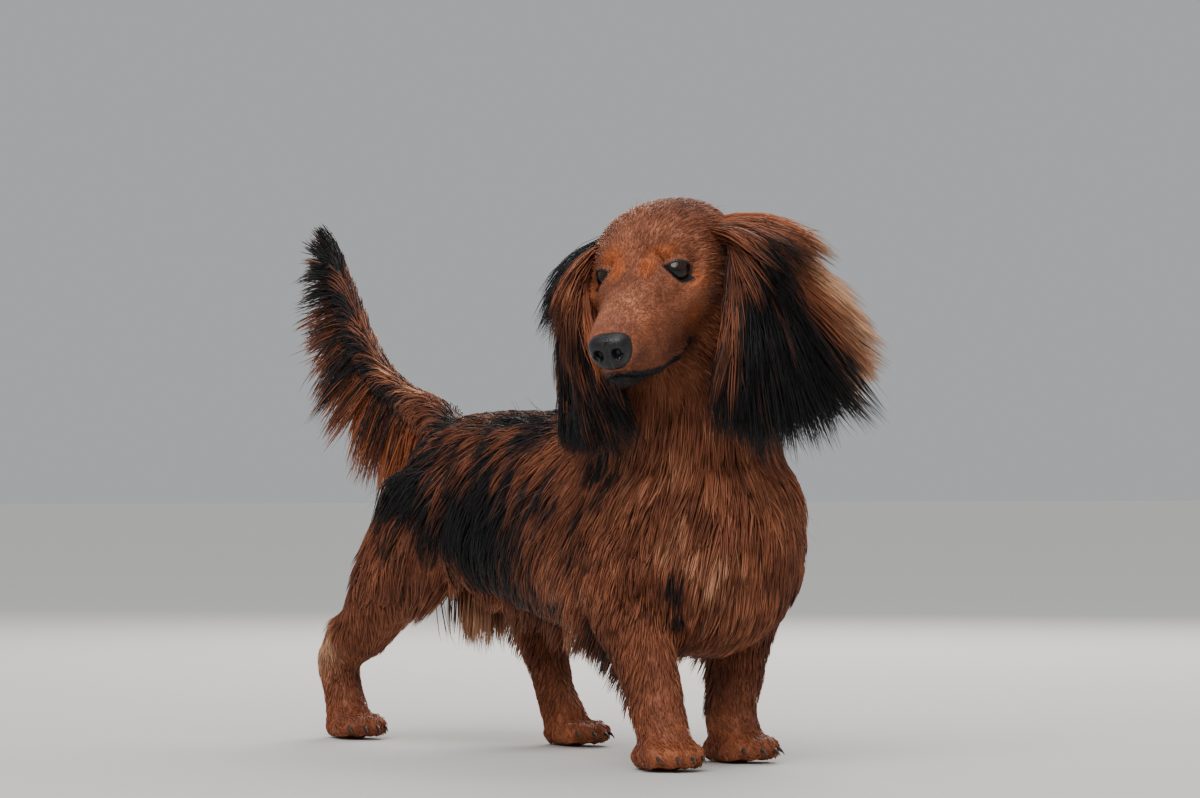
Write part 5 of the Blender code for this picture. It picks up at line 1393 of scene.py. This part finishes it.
def claw_mesh():
    """One claw along -Y from its root, bent down and narrowed to a blunt tip."""
    bpy.ops.object.select_all(action="DESELECT")
    bpy.ops.mesh.primitive_cylinder_add(vertices=12, radius=1, depth=1, location=(0, 0, 0))
    claw = bpy.context.object
    shape = bmesh.new()
    shape.from_mesh(claw.data)
    upright = [edge for edge in shape.edges if abs(edge.verts[0].co.z - edge.verts[1].co.z) > 0.5]
    bmesh.ops.subdivide_edges(shape, edges=upright, cuts=6)
    for vert in shape.verts:
        t = vert.co.z + 0.5
        wide = CLAW_WIDTH / 2 * (1 - 0.75 * t ** 1.6)
        vert.co = Vector((vert.co.x * wide * 0.8, -t * CLAW_LENGTH, vert.co.y * wide - CLAW_DROP * t * t))
    bmesh.ops.recalc_face_normals(shape, faces=shape.faces)
    shape.to_mesh(claw.data)
    shape.free()
    claw.data.shade_smooth()
    claw.data.materials.append(CLAW_HORN)
    return claw


for pair, (feet, width, splay) in PAWS.items():
    for side, sign in SIDES.items():
        centres, turn = toe_places(feet[side], width, sign * splay)
        claws = []
        for centre in centres:
            claw = claw_mesh()
            claw.data.transform(Matrix.Translation(centre + turn @ CLAW_ROOT) @ turn)
            claws.append(claw)
        bpy.ops.object.select_all(action="DESELECT")
        for claw in claws:
            claw.select_set(True)
        bpy.context.view_layer.objects.active = claws[0]
        bpy.ops.object.join()
        claws[0].name = f"claws_{pair}_{side}"
        settle(claws[0], "nose_leather")

# Ears: long flaps of thin leather, set at eye level and hanging forward, with folds down their length.
# Long silky hair covers both faces and hangs past the edges, black below and lighter at the rear edge.
# A row of a flap is its front edge, its rear edge and its bulge, from the root to the tip.
EAR_THICKNESS = 0.0026
EAR_ROWS = {
    "left": [
        ((0.0400, -0.040, 0.0140), (0.0380, -0.086, 0.0110), 0.004),
        ((0.0480, -0.036, 0.0040), (0.0530, -0.092, -0.0020), 0.009),
        ((0.0480, -0.028, -0.0150), (0.0640, -0.095, -0.0200), 0.011),
        ((0.0460, -0.018, -0.0340), (0.0780, -0.096, -0.0400), 0.011),
        ((0.0430, -0.010, -0.0530), (0.0890, -0.094, -0.0620), 0.010),
        ((0.0430, -0.010, -0.0710), (0.0900, -0.088, -0.0820), 0.008),
        ((0.0490, -0.020, -0.0880), (0.0840, -0.078, -0.0980), 0.006),
        ((0.0580, -0.036, -0.1010), (0.0730, -0.062, -0.1070), 0.003),
    ],
    "right": [
        ((-0.0390, -0.042, 0.0130), (-0.0370, -0.088, 0.0100), 0.004),
        ((-0.0430, -0.028, 0.0000), (-0.0490, -0.074, -0.0060), 0.007),
        ((-0.0430, -0.014, -0.0160), (-0.0590, -0.066, -0.0240), 0.008),
        ((-0.0410, -0.006, -0.0350), (-0.0670, -0.060, -0.0430), 0.008),
        ((-0.0400, -0.001, -0.0550), (-0.0720, -0.054, -0.0630), 0.008),
        ((-0.0430, 0.000, -0.0730), (-0.0750, -0.048, -0.0810), 0.007),
        ((-0.0520, -0.004, -0.0890), (-0.0780, -0.040, -0.0950), 0.005),
        ((-0.0630, -0.014, -0.1000), (-0.0740, -0.030, -0.1030), 0.003),
    ],
}


def ear_points(side, along, across):
    """Places on the ear's middle layer, in the head: along from root to tip, across from front to rear."""
    rows = EAR_ROWS[side]
    front = np.array([row[0] for row in rows])
    rear = np.array([row[1] for row in rows])
    bulge = np.array([row[2] for row in rows])
    at = np.clip(along, 0, 1) * (len(rows) - 1)
    low = np.minimum(at.astype(int), len(rows) - 2)
    share = (at - low)[:, None]
    front = front[low] * (1 - share) + front[low + 1] * share
    rear = rear[low] * (1 - share) + rear[low + 1] * share
    bulge = bulge[low] * (1 - share[:, 0]) + bulge[low + 1] * share[:, 0]
    out = unit(np.array((SIDES[side], 0.35, 0.25)))
    fold = 0.0035 * np.sin(3 * math.pi * across) * np.minimum(1, 1.6 * along)
    crown = bulge * np.sin(math.pi * np.clip(across, 0, 1)) * 0.8
    tucked = np.clip(1 - along / 0.14, 0, 1) ** 2 * 0.010
    return front + (rear - front) * across[:, None] + out * (crown + fold - tucked)[:, None]


def ear_marks(side, along, across):
    """Black at the root and below, red between, and gold to pale along the rear edge that the wind lifts."""
    ripple = 0.14 * np.sin(11 * across + 5 * along) + 0.10 * np.sin(23 * across - 9 * along)
    if side == "left":
        core = np.clip((across - 0.02) / 0.08, 0.45, 1) * np.clip((0.66 - across) / 0.22, 0, 1)
        tip = np.clip((along - 0.34) / 0.20, 0, 1) * np.clip((0.88 - across) / 0.22, 0, 1)
        black = np.maximum(0.92 * core * np.clip(along * 8, 0, 1), tip) + ripple
        gold = np.clip((across - 0.50) * 2.0, 0, 0.6)
        pale = np.clip((across - 0.58) * 3.4, 0, 1) * np.clip(1.5 - 1.1 * along, 0, 1)
    else:
        rear = np.clip((across - 0.05) / 0.25, 0, 1) * np.clip((0.44 - along) / 0.16, 0, 1)
        tip = np.clip((along - 0.28) / 0.14, 0, 1) * np.clip((1.10 - across) / 0.35, 0, 1)
        black = np.maximum(0.9 * rear, tip) + 1.6 * ripple
        gold = np.clip(0.45 - np.abs(along - 0.25) / 0.5, 0, 0.45)
        pale = np.clip((across - 0.88) * 3.0, 0, 0.4) * np.clip(1 - 2 * along, 0, 1)
    pale = pale * np.clip(along * 8, 0, 1)
    return np.stack([np.clip(black, 0, 1), gold, pale], axis=1)


EAR_COLUMNS, EAR_LINES = 25, 41
EAR_LENGTH = 0.118
LEATHER_SHARE = 0.80
EAR_HAIRS = 6800
for side, sign in SIDES.items():
    bpy.ops.object.select_all(action="DESELECT")
    bpy.ops.mesh.primitive_grid_add(x_subdivisions=EAR_COLUMNS - 1, y_subdivisions=EAR_LINES - 1, size=1)
    ear = bpy.context.object
    ear.name = "ear_leather_" + side
    grid = points_of(ear.data)
    across, along = grid[:, 0] + 0.5, (grid[:, 1] + 0.5) * LEATHER_SHARE
    centred = 0.5 + (across - 0.5) * 0.86
    store_points(ear.data, from_head(ear_points(side, along, centred)))
    store_vectors(ear.data, "marks", ear_marks(side, along, centred))
    store_vectors(ear.data, "grain", np.stack([across * 90, along * 25, along * 0], axis=1))
    leather = ear.modifiers.new("leather", "SOLIDIFY")
    leather.thickness = EAR_THICKNESS
    leather.offset = 0
    apply_modifiers(ear)
    shape = bmesh.new()
    shape.from_mesh(ear.data)
    bmesh.ops.recalc_face_normals(shape, faces=shape.faces)
    shape.to_mesh(ear.data)
    shape.free()
    ear.data.shade_smooth()
    ear.data.materials.append(SKIN_COAT)

    dice = np.random.default_rng(61 + sign)
    count, rings = EAR_HAIRS, 4
    along = dice.random(count) ** 1.1 * 0.84 - 0.02
    across = np.clip(dice.beta(0.9, 0.85, count), 0.0, 1.0)
    outer = np.where(dice.random(count) < 0.75, 1.0, -1.0)
    centred = 0.5 + (across - 0.5) * 0.90
    roots = ear_points(side, along, centred)
    down = unit(ear_points(side, along + 0.03, centred) - ear_points(side, along - 0.03, centred))
    rearward = unit(ear_points(side, along, centred + 0.04) - ear_points(side, along, centred - 0.04))
    face_way = np.cross(rearward, down)
    face_way *= np.sign((face_way * (sign, 0.2, 0.1)).sum(axis=1, keepdims=True))
    out = unit(face_way * outer[:, None])
    spread = across - 0.35
    if side == "left":
        spread *= 1.25 * (0.40 + 0.60 * np.clip(along / 0.35, 0, 1))
        rise = 0.06 + 0.14 * np.clip(along / 0.35, 0, 1)
        wind_force = 0.22 * across ** 1.5 * np.clip(along / 0.25, 0.25, 1) + 0.06
        longer = 1 + 0.45 * np.clip((along - 0.30) / 0.25, 0, 1) * np.clip((0.80 - across) / 0.2, 0, 1)
    else:
        spread *= np.where(across > 0.35, 0.20, 2.4)
        rise = np.full(count, 0.12)
        wind_force = 0.03 * (1 - across)
        longer = 1 + 0.30 * np.clip((0.35 - across) / 0.35, 0, 1)
    world_down = to_head(np.array([BROW_POINT + Vector((0, 0, -1))]))
    wind = to_head(np.array([BROW_POINT + Vector((0.9, -0.4, 0.15))]))
    rest = np.clip((1.06 - along) * EAR_LENGTH, 0.026, 0.058)
    length = rest * dice.uniform(0.70, 1.14, count) * (1 + 0.15 * across) * longer
    heading = unit(down + rearward * spread[:, None] + out * rise[:, None] + dice.normal(0, 0.06, (count, 3)))
    path = np.empty((rings + 1, count, 3))
    place = roots + out * (EAR_THICKNESS / 2 - 0.0006)
    path[0] = place
    layer = dice.random(count) ** 0.7 * 0.006
    sway = dice.uniform(0, 2 * math.pi, count)
    for k in range(1, rings + 1):
        t = k / rings
        heading = unit(heading + world_down * 0.14 * t + wind * (wind_force * t)[:, None] - out * 0.12 * t)
        place = place + heading * (length / rings)[:, None]
        wave = np.sin(sway + 6 * t) * 0.0022 * t
        off = layer * math.sin(min(1.0, 1.6 * t) * math.pi / 2)
        path[k] = place + out * off[:, None] + rearward * wave[:, None]
    world_path = from_head(path.reshape(-1, 3)).reshape(path.shape)
    for k in range(1, rings + 1):
        near, away, height = near_skin(world_path[k])
        short = np.maximum(0, 0.0015 - height) * (np.abs(height) < 0.02)
        world_path[k] += away * short[:, None]
    lock = gather(world_path, 22, dice, 0.60)
    lock_tone = dice.random(lock.max() + 1)[lock]
    tone = np.clip(dice.normal(0.5, 0.15, count), 0, 1)
    world_out = unit(from_head(roots + out) - from_head(roots))
    make_tufts("ear_hair_" + side, world_path, 0.0009 * dice.uniform(0.6, 1.2, count),
               unit(world_out + dice.normal(0, 0.35, (count, 3))), tone, lock_tone, "shaded_coat",
               ear_marks(side, along, across))
    settle(ear, "shaded_coat", "ear_" + side)

# Studio: the dog stands on a wide sheet of pale paper.
# A wide soft sky lights all of it, with a key light in front, a top light, and a rim light behind the dog.
bpy.ops.object.select_all(action="DESELECT")
bpy.ops.mesh.primitive_plane_add(size=60, location=(0, 0, 0))
floor = bpy.context.object
floor.name = "studio_floor"
PAPER, paper_shade, paper_shader = new_material("pale studio paper", IOR=1.4, Roughness=0.9)
paper_place = paper_shade.node("TexCoord", out="Object")
paper_noise = paper_shade.node("TexNoise", {"Vector": paper_place, "Scale": 300.0, "Detail": 3.0})
paper_colour = paper_noise.between(0.2, 0.8).mix((0.56, 0.55, 0.53, 1), (0.60, 0.59, 0.57, 1))
PAPER.node_tree.links.new(paper_colour.socket, paper_shader.inputs["Base Color"])
floor.data.materials.append(PAPER)

world = bpy.data.worlds.new("studio air")
bpy.context.scene.world = world
world.use_nodes = True
world.node_tree.nodes["Background"].inputs["Color"].default_value = (0.82, 0.84, 0.86, 1)
world.node_tree.nodes["Background"].inputs["Strength"].default_value = 0.52


def area_light(name, place, target, size, watts, colour):
    data = bpy.data.lights.new(name, "AREA")
    data.size = size
    data.energy = watts
    data.color = colour
    lamp = bpy.data.objects.new(name, data)
    lamp.location = place
    lamp.rotation_euler = (Vector(target) - Vector(place)).to_track_quat("-Z", "Y").to_euler()
    bpy.context.scene.collection.objects.link(lamp)


DOG_MIDDLE = (0, 0, 0.2)
sun_data = bpy.data.lights.new("sky", "SUN")
sun_data.energy = 1.7
sun_data.angle = math.radians(50)
sky = bpy.data.objects.new("sky", sun_data)
sky.rotation_euler = Vector((1.6, 1.7, -2.4)).to_track_quat("-Z", "Y").to_euler()
bpy.context.scene.collection.objects.link(sky)
area_light("key", (-1.7, -1.7, 2.1), DOG_MIDDLE, 1.6, 30, (1.0, 0.97, 0.93))
area_light("top", (0.0, -0.4, 2.6), DOG_MIDDLE, 2.0, 22, (0.97, 0.98, 1.0))
area_light("rim", (1.5, 1.7, 1.6), DOG_MIDDLE, 1.4, 55, (1.0, 0.94, 0.86))

# Camera: the photograph's view, from the dog's front right, a little below the height of its back.
# It is a long lens at three metres, tipped up by a degree. The dog's own origin lies on DOG_COLUMN of the
# photograph, and the horizon on LEVEL_ROW.
VIEW_TURN = math.radians(31)
VIEW_DISTANCE = 3.0
VIEW_HEIGHT = 0.19
LENS, SENSOR, IMAGE_WIDTH, IMAGE_HEIGHT = 135, 36, 1200, 798
PIXELS_AHEAD = LENS / SENSOR * IMAGE_WIDTH
DOG_COLUMN, LEVEL_ROW = 697, 480
right = Vector((math.cos(VIEW_TURN), -math.sin(VIEW_TURN), 0))
ahead = Vector((math.sin(VIEW_TURN), math.cos(VIEW_TURN), 0))
aside = (DOG_COLUMN - IMAGE_WIDTH / 2) / PIXELS_AHEAD * VIEW_DISTANCE
pitch = math.atan((LEVEL_ROW - IMAGE_HEIGHT / 2) / PIXELS_AHEAD)
camera_data = bpy.data.cameras.new("camera")
camera_data.sensor_width = SENSOR
camera_data.lens = LENS
camera = bpy.data.objects.new("camera", camera_data)
camera.location = SHIFT - ahead * VIEW_DISTANCE - right * aside + Vector((0, 0, VIEW_HEIGHT))
look = ahead * math.cos(pitch) + Vector((0, 0, math.sin(pitch)))
camera.rotation_euler = look.to_track_quat("-Z", "Y").to_euler()
bpy.context.scene.collection.objects.link(camera)
bpy.context.scene.camera = camera
